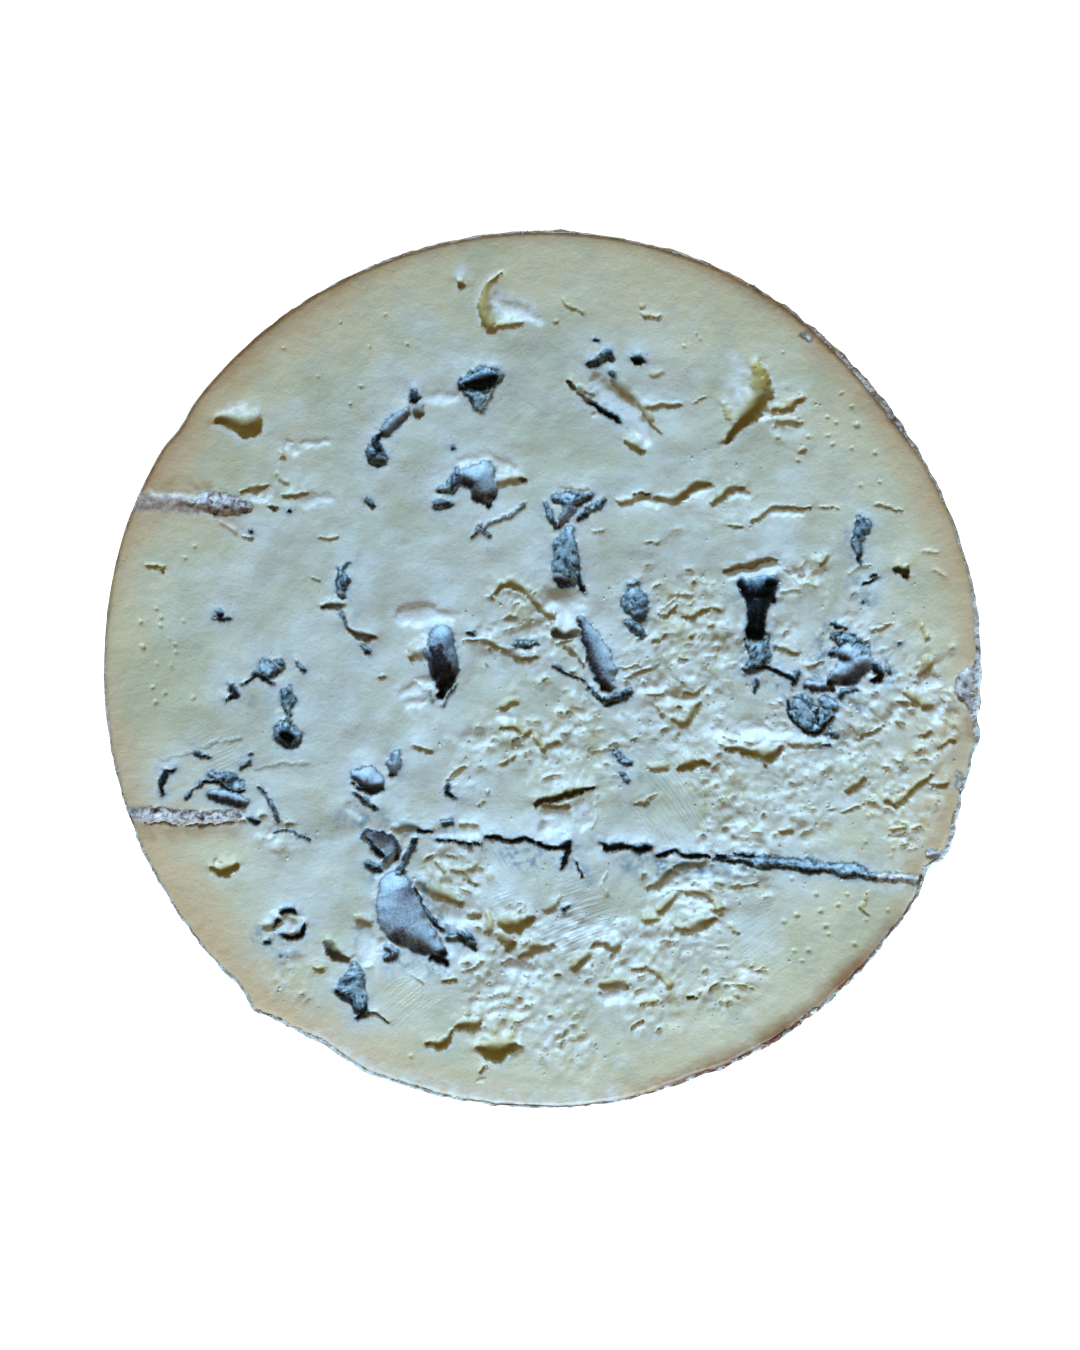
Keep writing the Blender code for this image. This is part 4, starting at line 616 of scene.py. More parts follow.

# Stretches painted white, partly as painted highlight where the paste faces the light and partly for freshly
# torn paste, as (strength, spine)
WHITE_CLOUDS_AND_PAINTED_HIGHLIGHTS = (
    (0.5, ((-33.4, -54.4, 0.6), (-24.0, -59.6, 0.8), (-12.0, -62.8, 0.9), (0.0, -63.6, 0.9),
           (10.0, -62.8, 0.7))),
    (0.9, ((-47.0, 38.2, 0.3), (-43.4, 38.2, 0.6))),
    (0.9, ((-12.8, 45.0, 0.5), (-9.6, 46.0, 0.7), (-6.6, 45.0, 0.5))), (0.8, ((-12.4, 58.9, 0.5),)),
    (0.6, ((-18.0, 40.8, 1.0), (-13.0, 40.4, 1.2))), (0.9, ((-7.0, 54.8, 0.8), (-3.0, 53.4, 1.0))),
    (0.7, ((-11.8, 31.0, 0.6), (-8.0, 31.9, 0.7), (-4.2, 30.2, 0.7))),
    (0.6, ((-16.0, 23.6, 1.0), (-11.0, 22.6, 1.2), (-4.6, 24.2, 1.0))),
    (0.5, ((-34.0, 25.2, 1.8), (-28.0, 24.6, 1.0))), (0.6, ((-38.4, 27.8, 0.8), (-34.6, 28.0, 1.2))),
    (0.8, ((5.4, 45.2, 1.0), (8.8, 47.2, 1.2), (10.6, 44.6, 0.6))),
    (0.9, ((8.8, 42.4, 0.8), (11.0, 38.8, 1.0), (14.4, 35.4, 1.0))),
    (0.7, ((28.0, 45.2, 1.2), (28.2, 41.0, 1.6))), (0.6, ((32.4, 37.4, 0.6), (36.6, 35.8, 1.0))),
    (0.6, ((35.0, 41.4, 0.6), (38.0, 42.0, 0.4))), (0.6, ((12.6, 40.8, 0.8), (18.0, 40.4, 0.8))),
    (0.5, ((0.4, 27.4, 1.2), (6.0, 27.6, 1.2))), (0.6, ((6.4, 19.8, 1.2), (6.8, 15.0, 1.0))),
    (0.5, ((-1.2, 18.0, 1.0), (-1.0, 13.4, 1.2))),
    (0.6, ((10.6, 11.8, 0.8), (13.2, 14.2, 0.8), (16.2, 10.4, 0.6))),
    (0.9, ((27.0, 13.2, 0.4), (31.0, 14.4, 0.5), (35.0, 15.2, 0.4))),
    (0.5, ((26.0, 12.6, 1.2), (27.4, 8.0, 1.6))),
    (0.6, ((35.4, 12.0, 1.8), (38.0, 8.6, 2.2), (36.4, 5.0, 1.4))),
    (0.6, ((43.4, 18.6, 1.0), (48.6, 17.6, 1.0))),
    (0.7, ((42.0, 6.0, 1.0), (46.8, 6.6, 1.2), (49.4, 4.4, 1.0))),
    (0.7, ((34.6, -2.6, 1.0), (36.0, 0.8, 1.0), (40.0, 1.2, 1.4))),
    (0.9, ((25.0, -9.4, 1.0), (30.0, -9.4, 1.4), (35.6, -9.6, 1.0))),
    (0.6, ((33.6, -6.6, 1.2), (34.6, -3.0, 1.2))),
    (0.8, ((-21.0, 8.8, 1.2), (-16.4, 8.6, 1.6), (-12.0, 7.8, 0.8))),
    (0.8, ((-21.0, -3.4, 1.2), (-18.0, -2.0, 1.2))),
    (0.6, ((-19.0, -6.0, 1.0), (-16.6, -7.4, 1.2), (-18.6, -9.6, 1.0))),
    (0.7, ((-12.4, 1.6, 0.5), (-12.2, 5.4, 0.8))),
    (0.7, ((-20.4, -12.8, 1.0), (-20.0, -17.0, 1.2), (-22.6, -19.6, 1.0))),
    (0.6, ((-28.0, -12.6, 0.8), (-24.4, -13.2, 0.6))), (0.6, ((-31.0, -20.0, 1.2), (-27.6, -22.2, 1.2))),
    (0.7, ((-44.0, -24.0, 0.6), (-36.0, -25.4, 0.7), (-29.6, -25.6, 0.8))),
    (0.5, ((-53.0, -16.2, 1.6), (-52.0, -19.6, 0.8), (-43.0, -20.8, 1.0))),
    (0.5, ((-46.0, -12.6, 2.0), (-42.4, -15.4, 1.4))),
    (0.4, ((-42.0, -1.4, 2.4), (-38.0, -5.4, 2.2), (-38.4, -10.0, 3.0))),
    (0.6, ((-41.2, -41.2, 1.2), (-36.4, -40.8, 1.0))), (0.9, ((-27.4, -38.6, 0.9), (-26.6, -42.4, 1.2))),
    (0.8, ((-24.0, -44.0, 1.2), (-18.0, -43.8, 1.2))), (0.6, ((-30.8, -44.6, 1.0), (-31.6, -47.0, 0.8))),
    (0.7, ((-12.0, -38.0, 1.4), (-11.0, -43.4, 1.4))),
    (0.7, ((-18.0, -20.8, 1.0), (-12.0, -21.6, 1.4), (-8.0, -22.6, 1.2))),
    (0.8, ((-3.0, -22.4, 1.2), (1.0, -22.8, 1.4), (6.2, -21.6, 1.2))),
    (0.8, ((5.4, -28.2, 1.2), (9.0, -29.0, 1.6), (13.4, -28.8, 1.2))),
    (0.6, ((-6.0, -27.4, 1.2), (0.4, -28.4, 1.2))),
    (0.9, ((16.6, -33.0, 0.8), (20.4, -30.9, 1.2), (25.0, -30.4, 1.2))),
    (0.7, ((14.4, -39.2, 0.8), (18.6, -39.6, 1.0), (24.0, -39.4, 0.8))),
    (0.9, ((-6.4, -43.6, 0.8), (-3.4, -44.8, 1.4), (-0.4, -43.4, 0.8))),
    (0.7, ((1.6, -40.0, 1.0), (6.2, -39.4, 1.0), (11.6, -39.0, 1.0))),
    (0.8, ((8.4, -48.6, 0.8), (11.4, -48.4, 0.9))), (0.6, ((12.0, -5.4, 1.4), (15.8, -8.0, 1.4))),
    (0.5, ((24.4, -24.8, 1.2), (30.0, -25.6, 1.2))),
    (0.5, ((34.0, -26.4, 0.8), (44.0, -27.4, 0.8), (52.0, -29.0, 0.8))),
    (0.5, ((50.0, -31.8, 0.5), (60.0, -33.2, 0.5))), (0.8, ((55.6, -1.8, 1.0), (57.6, -1.8, 1.0))),
    (0.6, ((51.6, 2.2, 0.8), (51.8, -3.4, 0.8))), (0.7, ((58.4, -5.6, 0.8), (57.6, -7.6, 0.8))),
    (0.5, ((11.6, 24.0, 1.0), (17.4, 24.2, 1.0))), (0.4, ((24.6, 24.0, 1.6), (36.0, 21.8, 1.6))),
    (0.5, ((46.4, -12.4, 1.4), (50.4, -10.4, 1.4))),
)

# Cream that has browned beside the needle tracks, as (strength, spine)
BROWN_STAINS = (
    (0.9, ((62.4, -8.0, 0.6), (63.8, -9.6, 0.6))), (0.6, ((59.8, -8.4, 0.6), (60.6, -10.0, 0.8))),
    (0.8, ((-63.0, 27.2, 0.5), (-56.0, 27.2, 0.6), (-50.0, 27.2, 0.4))),
    (0.45, ((-47.0, 22.4, 1.0), (-45.0, 21.6, 0.6))),
    (0.65, ((-62.0, -24.0, 0.9), (-54.0, -24.0, 0.7), (-45.0, -23.6, 0.4))),
    (0.35, ((-62.0, -20.2, 0.7), (-50.0, -20.6, 0.7))), (0.4, ((47.0, -27.6, 0.6), (56.0, -29.2, 0.9))),
    (0.35, ((57.6, -26.0, 1.6), (61.0, -20.0, 1.2))),
)

# Pin holes of early fermentation, as (x, y, radius)
PIN_HOLES = (
    (-59.8, 7.1, 0.35), (-59.5, 3.4, 0.4), (-57.5, 9.0, 0.3), (-56.8, 7.7, 0.35), (-56.9, 6.5, 0.3),
    (-53.5, 7.2, 0.25), (-55.6, 4.6, 0.25), (-54.7, 3.8, 0.3), (-57.4, 0.9, 0.25), (-58.1, -2.6, 0.3),
    (-56.2, -3.4, 0.3), (-52.1, -4.1, 0.35), (-57.6, -4.8, 0.35), (-51.8, 18.3, 0.3), (-53.2, 16.6, 0.3),
    (-55.2, 0.6, 0.25), (-54.7, 2.6, 0.25), (42.6, 33.4, 0.35), (43.9, 41.0, 0.3), (45.4, 39.0, 0.3),
    (39.0, 34.5, 0.35), (46.1, 36.2, 0.45), (41.9, 34.7, 0.3), (48.8, 32.1, 0.35), (46.7, 27.3, 0.3),
    (49.5, 27.8, 0.25), (41.8, 37.4, 0.3), (43.1, 36.6, 0.3), (45.4, 32.8, 0.3), (35.2, 47.0, 0.25),
    (37.3, -36.3, 0.4), (40.8, -35.7, 0.35), (41.6, -37.9, 0.4), (43.4, -34.8, 0.35), (45.8, -40.6, 0.4),
    (38.1, -43.1, 0.35), (40.2, -33.2, 0.35), (44.8, -33.2, 0.3), (36.9, -41.6, 0.35), (39.0, -41.5, 0.35),
    (50.8, -35.6, 0.3), (35.4, -37.3, 0.35), (42.0, -39.1, 0.3), (47.5, -25.5, 0.3), (51.2, -27.6, 0.25),
    (54.4, -26.0, 0.25), (51.6, -26.4, 0.25), (36.6, -30.9, 0.35), (47.6, -37.0, 0.25), (-19.9, -57.2, 0.3),
    (-38.6, 47.6, 0.25), (-30.2, 51.4, 0.25), (-26.0, 47.8, 0.25), (-33.6, 43.4, 0.25), (-23.6, 52.6, 0.25),
    (-20.4, 48.2, 0.3), (22.4, 49.8, 0.25), (23.0, 49.0, 0.25), (20.6, 47.9, 0.3),
)

# Torn, crumbly stretches of the face, as (x, y, radius, strength)
TORN_PATCHES = (
    (-4.0, 5.0, 9.2, 1.0), (20.0, 0.0, 13.8, 1.2), (38.0, 10.0, 10.3, 0.7), (50.0, -6.0, 12.6, 1.2),
    (30.0, -16.0, 16.1, 0.9), (8.0, -9.0, 10.3, 1.0), (-6.0, -13.0, 9.2, 0.8), (-13.0, -29.0, 5.8, 1.0),
    (20.0, -34.5, 8.0, 1.2), (-2.0, -43.0, 10.3, 1.2), (11.0, -45.0, 10.3, 1.2), (27.0, -46.0, 5.8, 1.0),
    (53.0, -16.0, 9.2, 1.2), (5.0, -52.0, 9.2, 0.8), (26.0, 24.0, 8.0, 0.5), (36.0, 37.0, 5.8, 0.4),
    (30.0, -25.0, 10.3, 0.9), (14.0, 6.0, 6.9, 0.4), (58.0, -8.0, 8.0, 1.2), (-39.0, -25.0, 4.0, 0.7),
    (48.0, 8.0, 8.0, 0.8), (-37.0, -46.0, 5.2, 0.5), (-5.0, -50.0, 8.0, 0.9),
)

# Stretches where the knife dragged the curd, as (x, y, radius, direction of the drag in degrees, strength)
DRAGGED_PATCHES = (
    (22.0, -20.0, 9.0, -58.0, 1.0), (4.5, -37.5, 6.0, 22.0, 1.0), (-5.0, -28.5, 4.5, -60.0, 0.8),
    (-20.0, -48.0, 5.0, 38.0, 0.5), (30.0, -41.0, 7.0, 38.0, 0.4), (48.0, -12.0, 6.0, -50.0, 0.4),
    (-48.0, -12.0, 4.0, 25.0, 0.5), (-6.0, -33.0, 5.0, 20.0, 0.4),
)

# Where the rim of the cut leaves the circle, as (angle, half width, offset), with the angles in degrees
RIM_DENTS = (
    (35.0, 13.0, -0.45), (146.0, 2.2, -0.55), (160.0, 9.0, 0.25), (229.5, 2.4, 1.1), (240.0, 4.0, -0.75),
    (290.0, 4.5, -0.5), (332.0, 1.8, -0.6), (336.5, 2.4, 1.1), (351.0, 1.8, 0.8),
)
# The rim of the cut, as (angle in degrees, strength of the tan that the rind has given the paste, how far it
# reaches, its hue from tan at 0 to rust at 1, width of the crust that shows, its white bloom, its rust)
RIM_TRAITS = ("angle", "blush", "blush_width", "blush_hue", "crust", "bloom", "rust")
RIM_STATIONS = (
    (0, 0.85, 3.6, 0.28, 1.1, 1.0, 0.1), (12, 0.9, 3.6, 0.28, 0.3, 0.5, 0.1),
    (28, 1.0, 3.8, 0.32, 0.6, 0.6, 0.1), (36, 1.0, 3.2, 0.35, 1.4, 0.8, 0.3),
    (48, 1.0, 3.0, 0.35, 1.2, 0.8, 0.4), (56, 1.0, 2.8, 0.3, 0.7, 0.7, 0.4),
    (66, 0.8, 2.4, 0.22, 0.3, 0.4, 0.3), (80, 0.6, 2.0, 0.12, 0.2, 0.3, 0.2),
    (95, 0.4, 1.6, 0.05, 0.2, 0.3, 0.2), (108, 0.7, 2.4, 0.15, 0.25, 0.4, 0.2),
    (118, 0.9, 3.2, 0.25, 0.2, 0.4, 0.1), (126, 0.95, 3.6, 0.3, 0.15, 0.3, 0.1),
    (134, 1.0, 3.8, 0.32, 0.1, 0.2, 0.1), (150, 1.0, 3.8, 0.32, 0.1, 0.2, 0.1),
    (158, 0.9, 3.6, 0.25, 0.15, 0.3, 0.1), (168, 0.7, 2.8, 0.12, 0.15, 0.2, 0.0),
    (180, 0.6, 2.8, 0.1, 0.2, 0.3, 0.0), (195, 0.8, 3.4, 0.2, 0.3, 0.5, 0.0),
    (205, 0.95, 4.6, 0.16, 0.4, 0.6, 0.0), (218, 1.0, 5.2, 0.12, 0.4, 0.7, 0.1),
    (230, 1.0, 5.0, 0.12, 0.7, 0.9, 0.1), (242, 0.9, 4.4, 0.04, 0.7, 0.8, 0.2),
    (252, 0.9, 3.4, 0.0, 0.7, 0.8, 0.2), (262, 0.8, 3.0, 0.0, 0.6, 0.8, 0.1),
    (272, 0.6, 2.4, 0.0, 0.4, 0.5, 0.2), (280, 0.6, 1.8, 0.3, 0.5, 0.5, 0.5),
    (286, 1.0, 2.0, 0.7, 0.6, 0.9, 0.7), (296, 1.0, 2.0, 0.9, 0.6, 0.9, 0.9),
    (304, 1.0, 2.2, 1.0, 0.6, 0.9, 0.9), (312, 1.0, 2.2, 1.0, 0.6, 0.9, 0.9),
    (322, 1.0, 1.9, 0.9, 0.5, 0.9, 0.8), (328, 0.6, 2.2, 0.2, 0.4, 0.9, 0.0),
    (334, 0.8, 4.0, 0.2, 1.2, 1.0, 0.0), (342, 0.9, 4.4, 0.24, 0.8, 0.8, 0.0),
    (348, 0.7, 3.2, 0.2, 0.6, 0.7, 0.0), (352, 0.5, 2.4, 0.2, 1.5, 1.0, 0.0),
)
FACE_RADIUS = 65.06
FACE_HEIGHT = 95.0
FACE_CENTRE = (-0.4, 0.0)
FOOT_ROUNDING = 8.0

# What the survey of the cut face notes at each place, besides its height
COVERS = ("rim_gap", "blush", "blush_hue", "rust", "crumb", "ochre_painted_shade", "mould", "lining_tone_and_painted_shade", "plum", "brown",
          "pink", "crust", "pale_and_painted_highlight", "grey", "line", "stain", "drag", "drag_along", "drag_across")
# Linings that blue mould has covered, and how far the facets of a crust show in each lining
MOULDY = (MOULD, VELVET, BLACK)
CRUSTINESS = {MOULD: 1.0, CRUST: 1.2, BLACK: 0.3}
# Painted light and shade of the mould across an opening: lighter on its easy slope at -1, which faces the
# window, darker on its steep wall at 1, which is in shade
VELVET_LIT_TO_SHADED = ((-1.0, -0.4, -0.05, 0.25, 0.55, 1.0), (1.04, 1.00, 0.84, 0.54, 0.24, 0.10))
BLACK_LIT_TO_SHADED = ((-1.0, -0.75, -0.45, -0.1, 1.0), (0.85, 0.60, 0.40, 0.28, 0.20))

# Waves of the whole cut face, as (size, height beside the rim, height added towards the middle, seed)
WAVES = ((17.0, 0.34, 0.0, 5), (6.5, 0.05, 0.34, 6), (2.6, 0.012, 0.13, 7), (1.1, 0.0, 0.025, 8))
# Soft noises that are added up, each as (strength, size, seed)
RAGGED_X = ((0.24, 1.7, 1), (0.19, 0.75, 2), (0.08, 0.33, 12))
RAGGED_Y = ((0.24, 1.7, 3), (0.19, 0.75, 4), (0.08, 0.33, 13))
TORN_LUMPS = ((0.34, 2.0, 9), (0.22, 0.9, 10))
TORN_PATCHINESS = ((0.6, 5.0, 31), (0.3, 2.2, 32))
BLUSH_WANDER = ((0.9, 5.0, 61), (0.35, 1.6, 62))
RIM_CRUMBLE = ((0.16, 1.7, 71), (0.10, 0.6, 72))
RIND_LUMPS = ((0.40, 26.0, 81), (0.34, 9.0, 82), (0.24, 3.2, 83), (0.13, 1.2, 84))
NEIGHBOURS = tuple((di, dj) for di in (-1, 0, 1) for dj in (-1, 0, 1))


def cell_hash(i: Array, j: Array, seed: int) -> Array:
    """A steady random number from 0 to 1 for each cell of a grid."""
    h = (i * 374761393 + j * 668265263 + seed * 974634777) & 0xFFFFFFFF
    h = ((h ^ (h >> 13)) * 1274126177) & 0xFFFFFFFF
    return ((h ^ (h >> 16)) & 0xFFFF) / 65535.0


def soft_noise(x: Array, y: Array, size: float, seed: int) -> Array:
    """Smooth noise from -1 to 1.

    Args:
        x: places along X.
        y: places along Y.
        size: size of one lump.
        seed: which noise.

    Returns:
        The noise at each place.
    """
    u, v = x / size, y / size
    i, j = np.floor(u).astype(np.int64), np.floor(v).astype(np.int64)
    u, v = u - i, v - j
    u, v = u * u * u * (u * (6 * u - 15) + 10), v * v * v * (v * (6 * v - 15) + 10)
    low = cell_hash(i, j, seed) * (1 - u) + cell_hash(i + 1, j, seed) * u
    high = cell_hash(i, j + 1, seed) * (1 - u) + cell_hash(i + 1, j + 1, seed) * u
    return 2 * (low * (1 - v) + high * v) - 1


def summed_noise(x: Array, y: Array, noises: tuple[tuple[float, float, int], ...]) -> Array:
    """Several soft noises added up, each given as (strength, size, seed)."""
    return sum(strength * soft_noise(x, y, size, seed) for strength, size, seed in noises)


def step(low: float, high: float, value: Array) -> Array:
    """A smooth step from 0 at low to 1 at high."""
    t = np.clip((value - low) / (high - low), 0.0, 1.0)
    return t * t * (3 - 2 * t)


def raise_to(cover: Array, at: Array | slice, value: Array) -> None:
    """Raises a cover to a value at the places given, where it is lower."""
    cover[at] = np.maximum(cover[at], value)


def facets(x: Array, y: Array, size: float, seed: int) -> tuple[Array, Array]:
    """Small tilted facets, as on torn curd or a crust of mould.

    Args:
        x: places along X.
        y: places along Y.
        size: size of one facet.
        seed: which set of facets.

    Returns:
        The height of the facets, about -1 to 1, and the distance to the nearest edge as a share of a facet.
    """
    x = x + 0.4 * size * soft_noise(x, y, 0.8 * size, seed + 7)
    y = y + 0.4 * size * soft_noise(x, y, 0.8 * size, seed + 8)
    i, j = np.floor(x / size).astype(np.int64), np.floor(y / size).astype(np.int64)
    nearest, second = np.full(x.shape, FAR), np.full(x.shape, FAR)
    height = np.zeros(x.shape)
    for di, dj in NEIGHBOURS:
        ci, cj = i + di, j + dj
        dx = x / size - ci - cell_hash(ci, cj, seed)
        dy = y / size - cj - cell_hash(ci, cj, seed + 1)
        away = np.hypot(dx, dy)
        level = 1.1 * (cell_hash(ci, cj, seed + 2) - 0.5)
        tilt = 1.4 * (cell_hash(ci, cj, seed + 3) - 0.5) * dx + (0.2 + cell_hash(ci, cj, seed + 4)) * dy
        closer = away < nearest
        second = np.where(closer, nearest, np.minimum(second, away))
        height = np.where(closer, level + tilt, height)
        nearest = np.where(closer, away, nearest)
    return height, second - nearest


def ledges(x: Array, y: Array, size: float, seed: int) -> tuple[Array, Array]:
    """Curd torn into wandering ledges that rise towards the top of the picture and break off there.

    Args:
        x: places along X.
        y: places along Y.
        size: distance from one ledge to the next.
        seed: which set of ledges.

    Returns:
        The height of the ledges from 0 to 1, and from 0 to 1 how near a place lies under a break.
    """
    wander = summed_noise(x, y, ((1.05, 1.5 * size, seed), (0.55, 0.6 * size, seed + 1),
                                 (0.24, 0.25 * size, seed + 2)))
    phase = (0.97 * y - 0.25 * x) / size + wander
    rise = phase - np.floor(phase)
    height = np.where(rise < 0.86, rise / 0.86, (1 - rise) / 0.14)
    shade = np.where(rise > 0.93, 1.0, np.clip(1 - rise / 0.42, 0.0, 1.0))
    strength = step(-0.35, 0.45, soft_noise(x, y, 1.7 * size, seed + 3))
    return height * strength, shade * strength


def spine_distance(x: Array, y: Array, spine: Spine) -> tuple[Array, Array, Array, Array]:
    """How far each place lies outside a chain of tapering strokes.

    Args:
        x: places along X.
        y: places along Y.
        spine: the chain.

    Returns:
        The distance, the half width of the nearest stroke, and the way out of it along X and Y.
    """
    best = np.full(x.shape, 1e9)
    width, out_x, out_y = np.ones(x.shape), np.ones(x.shape), np.zeros(x.shape)
    strokes = list(zip(spine, spine[1:])) or [(spine[0], spine[0])]
    for (ax, ay, ar), (bx, by, br) in strokes:
        length = max((bx - ax) ** 2 + (by - ay) ** 2, 1e-9)
        along = np.clip(((x - ax) * (bx - ax) + (y - ay) * (by - ay)) / length, 0.0, 1.0)
        dx, dy = x - ax - along * (bx - ax), y - ay - along * (by - ay)
        radius, away = ar + along * (br - ar), np.hypot(dx, dy)
        closer = away - radius < best
        best = np.where(closer, away - radius, best)
        width = np.where(closer, np.maximum(radius, 0.12), width)
        out_x = np.where(closer, dx / np.maximum(away, 1e-6), out_x)
        out_y = np.where(closer, dy / np.maximum(away, 1e-6), out_y)
    return best, width, out_x, out_y


@dataclass
class MouldCrust:
    """The fine build of a mould crust at every place of the cut face.

    Args:
        facet: height of its facets.
        crevice: distance to the edge of the facet.
        fuzz: fine noise.
        shows: how far the facets show, which is filled in opening by opening.
    """

    facet: Array
    crevice: Array
    fuzz: Array
    shows: Array


@dataclass
class Lie:
    """How the places near one opening lie to it.

    Args:
        at: numbers of the places.
        away: their distance outside its edge.
        steep: from 0 at its easy slope to 1 at its steep wall.
        inwards: from 0 at its edge to 1 at its spine.
        across: from -1 at its easy slope to 1 at its steep wall.
        wins: where this opening is the one that shows.
    """

    at: Array
    away: Array
    steep: Array
    inwards: Array
    across: Array
    wins: Array


@dataclass
class CutFaceMap:
    """The cut face read as a map: its heights and what covers it at any place."""

    reach: float = 5.5
    openings: tuple[Opening, ...] = tuple(Opening(*row) for rows in (
        UPPER_LEFT, UPPER_RIGHT, MIDDLE, LEFT, LOWER_MIDDLE, LOWER_RIGHT, NEEDLE_TRACKS) for row in rows)
    flakes: tuple[Flake, ...] = tuple(Flake(*row) for row in FLAKES)
    mould_smears: tuple[Smear, ...] = tuple(Smear(*row) for row in MOULD_SMEARS)
    brown_stains: tuple[Smear, ...] = tuple(Smear(*row) for row in BROWN_STAINS)
    white_clouds_and_painted_highlights: tuple[Smear, ...] = tuple(Smear(*row) for row in WHITE_CLOUDS_AND_PAINTED_HIGHLIGHTS)

    def rim_radius(self, angle: Array) -> Array:
        """Radius of the cut at an angle in radians."""
        degrees = np.degrees(angle)
        radius = np.full(degrees.shape, FACE_RADIUS)
        for at, width, offset in RIM_DENTS:
            away = (degrees - at + 180.0) % 360.0 - 180.0
            radius = radius + offset * np.exp(-((away / width) ** 2))
        crumbly = self.rim_trait(angle, "bloom")
        return radius + summed_noise(degrees, 0 * degrees, RIM_CRUMBLE) * (0.1 + crumbly**2)

    def rim_trait(self, angle: Array, name: str) -> Array:
        """One trait of the rim at an angle in radians, read from the stations round it."""
        stations = np.array(RIM_STATIONS)
        trait = stations[:, RIM_TRAITS.index(name)]
        return np.interp(np.degrees(angle) % 360.0, stations[:, 0], trait, period=360.0)

    def rim_gap(self, x: Array, y: Array) -> Array:
        """Distance inwards from the rim of the cut."""
        dx, dy = x - FACE_CENTRE[0], y - FACE_CENTRE[1]
        return self.rim_radius(np.arctan2(dy, dx)) - np.hypot(dx, dy)

    def ragged(self, x: Array, y: Array) -> tuple[Array, Array]:
        """The places with a small wander added, which tears the edges of the openings."""
        return x + summed_noise(x, y, RAGGED_X), y + summed_noise(x, y, RAGGED_Y)

    def near(self, x: Array, y: Array, spine: Spine, reach: float) -> Array:
        """Which places lie within reach of a spine's box."""
        points = np.array(spine)
        wide = points[:, 2].max() + reach
        inside_x = (x > points[:, 0].min() - wide) & (x < points[:, 0].max() + wide)
        return np.flatnonzero(inside_x & (y > points[:, 1].min() - wide) & (y < points[:, 1].max() + wide))

    def lip_distance(self, x: Array, y: Array) -> Array:
        """Distance to the nearest edge of an opening, a flake or a crease, negative inside."""
        x, y = self.ragged(x, y)
        best = np.full(x.shape, FAR)
        edges = [o.spine for o in self.openings] + [f.spine for f in self.flakes] + [c[2] for c in CREASES]
        for spine in edges + [(hole,) for hole in PIN_HOLES]:
            at = self.near(x, y, spine, 2.0)
            away = spine_distance(x[at], y[at], spine)[0]
            best[at] = np.where(np.abs(away) < np.abs(best[at]), away, best[at])
        return best

    def torn(self, x: Array, y: Array) -> Array:
        """How torn and crumbly the face is, from 0 to 1."""
        share = np.zeros(x.shape)
        for at_x, at_y, radius, strength in TORN_PATCHES:
            squared = ((x - at_x) ** 2 + (y - at_y) ** 2) / radius**2
            share = np.maximum(share, strength * np.exp(-(squared ** 1.5)))
        patchy = 0.85 + summed_noise(x, y, TORN_PATCHINESS)
        return np.clip(share * patchy, 0.0, 1.0) * step(1.0, 5.0, self.rim_gap(x, y))

    def survey(self, x: Array, y: Array) -> dict[str, Array]:
        """Reads the map at some places.

        Args:
            x: places along X.
            y: places along Y.

        Returns:
            "height" above the face's plane, and for each cover its share from 0 to 1.
        """
        found = {name: np.zeros(x.shape) for name in COVERS}
        gap = found["rim_gap"] = self.rim_gap(x, y)
        height = self.tear_curd(x, y, gap, found)
        self.drag_curd(x, y, found)
        rag_x, rag_y = self.ragged(x, y)
        self.raise_flakes(rag_x, rag_y, height, found, (LEDGE, DOME))
        crust = MouldCrust(*facets(x, y, 1.15, 401), soft_noise(rag_x, rag_y, 0.5, 91), np.zeros(x.shape))
        drop = self.cut_openings(rag_x, rag_y, crust, found)
        self.crease(rag_x, rag_y, drop, found)
        self.curd_pits(rag_x, rag_y, drop, found)
        self.prick(x, y, drop, found)
        height = height - drop + 0.24 * crust.shows * crust.facet
        self.raise_flakes(rag_x, rag_y, height, found, (NUGGET,))
        for cover, smears in (("grey", self.mould_smears), ("stain", self.brown_stains),
                              ("pale_and_painted_highlight", self.white_clouds_and_painted_highlights)):
            for smear in smears:
                self.spread(rag_x, rag_y, smear, found[cover])
        found["height"] = height * (0.3 + 0.7 * step(0.0, 2.5, gap)) - 0.2 * (1 - step(0.2, 1.4, gap))
        self.blush(x, y, gap, found)
        return found

    def tear_curd(self, x: Array, y: Array, gap: Array, found: dict[str, Array]) -> Array:
        """Lays out the waves of the face and the ledges, chips and lumps of its torn stretches, and paints
        yellow-brown shade under the breaks of the ledges.

        Args:
            x: places along X.
            y: places along Y.
            gap: their distances inwards from the rim.
            found: the covers, which are filled in.

        Returns:
            The height at each place.
        """
        inner, torn = step(5.0, 24.0, gap), self.torn(x, y)
        height = sum((beside_rim + added * inner) * soft_noise(x, y, size, seed)
                     for size, beside_rim, added, seed in WAVES)
        big, big_shade = ledges(x, y, 5.2, 101)
        small, small_shade = ledges(x, y, 1.9, 201)
        chip, _ = facets(x, y, 0.9, 301)
        height += torn * (0.32 * big + 0.20 * small + 0.17 * chip + summed_noise(x, y, TORN_LUMPS) - 0.20)
        # Painted shade: yellow-brown laid under the breaks of the ledges, where their cliffs are in shade.
        shade = np.maximum(0.85 * big_shade, 0.5 * small_shade) * step(0.15, 0.75, torn)
        found["crumb"], found["ochre_painted_shade"] = torn, 0.8 * shade
        return height

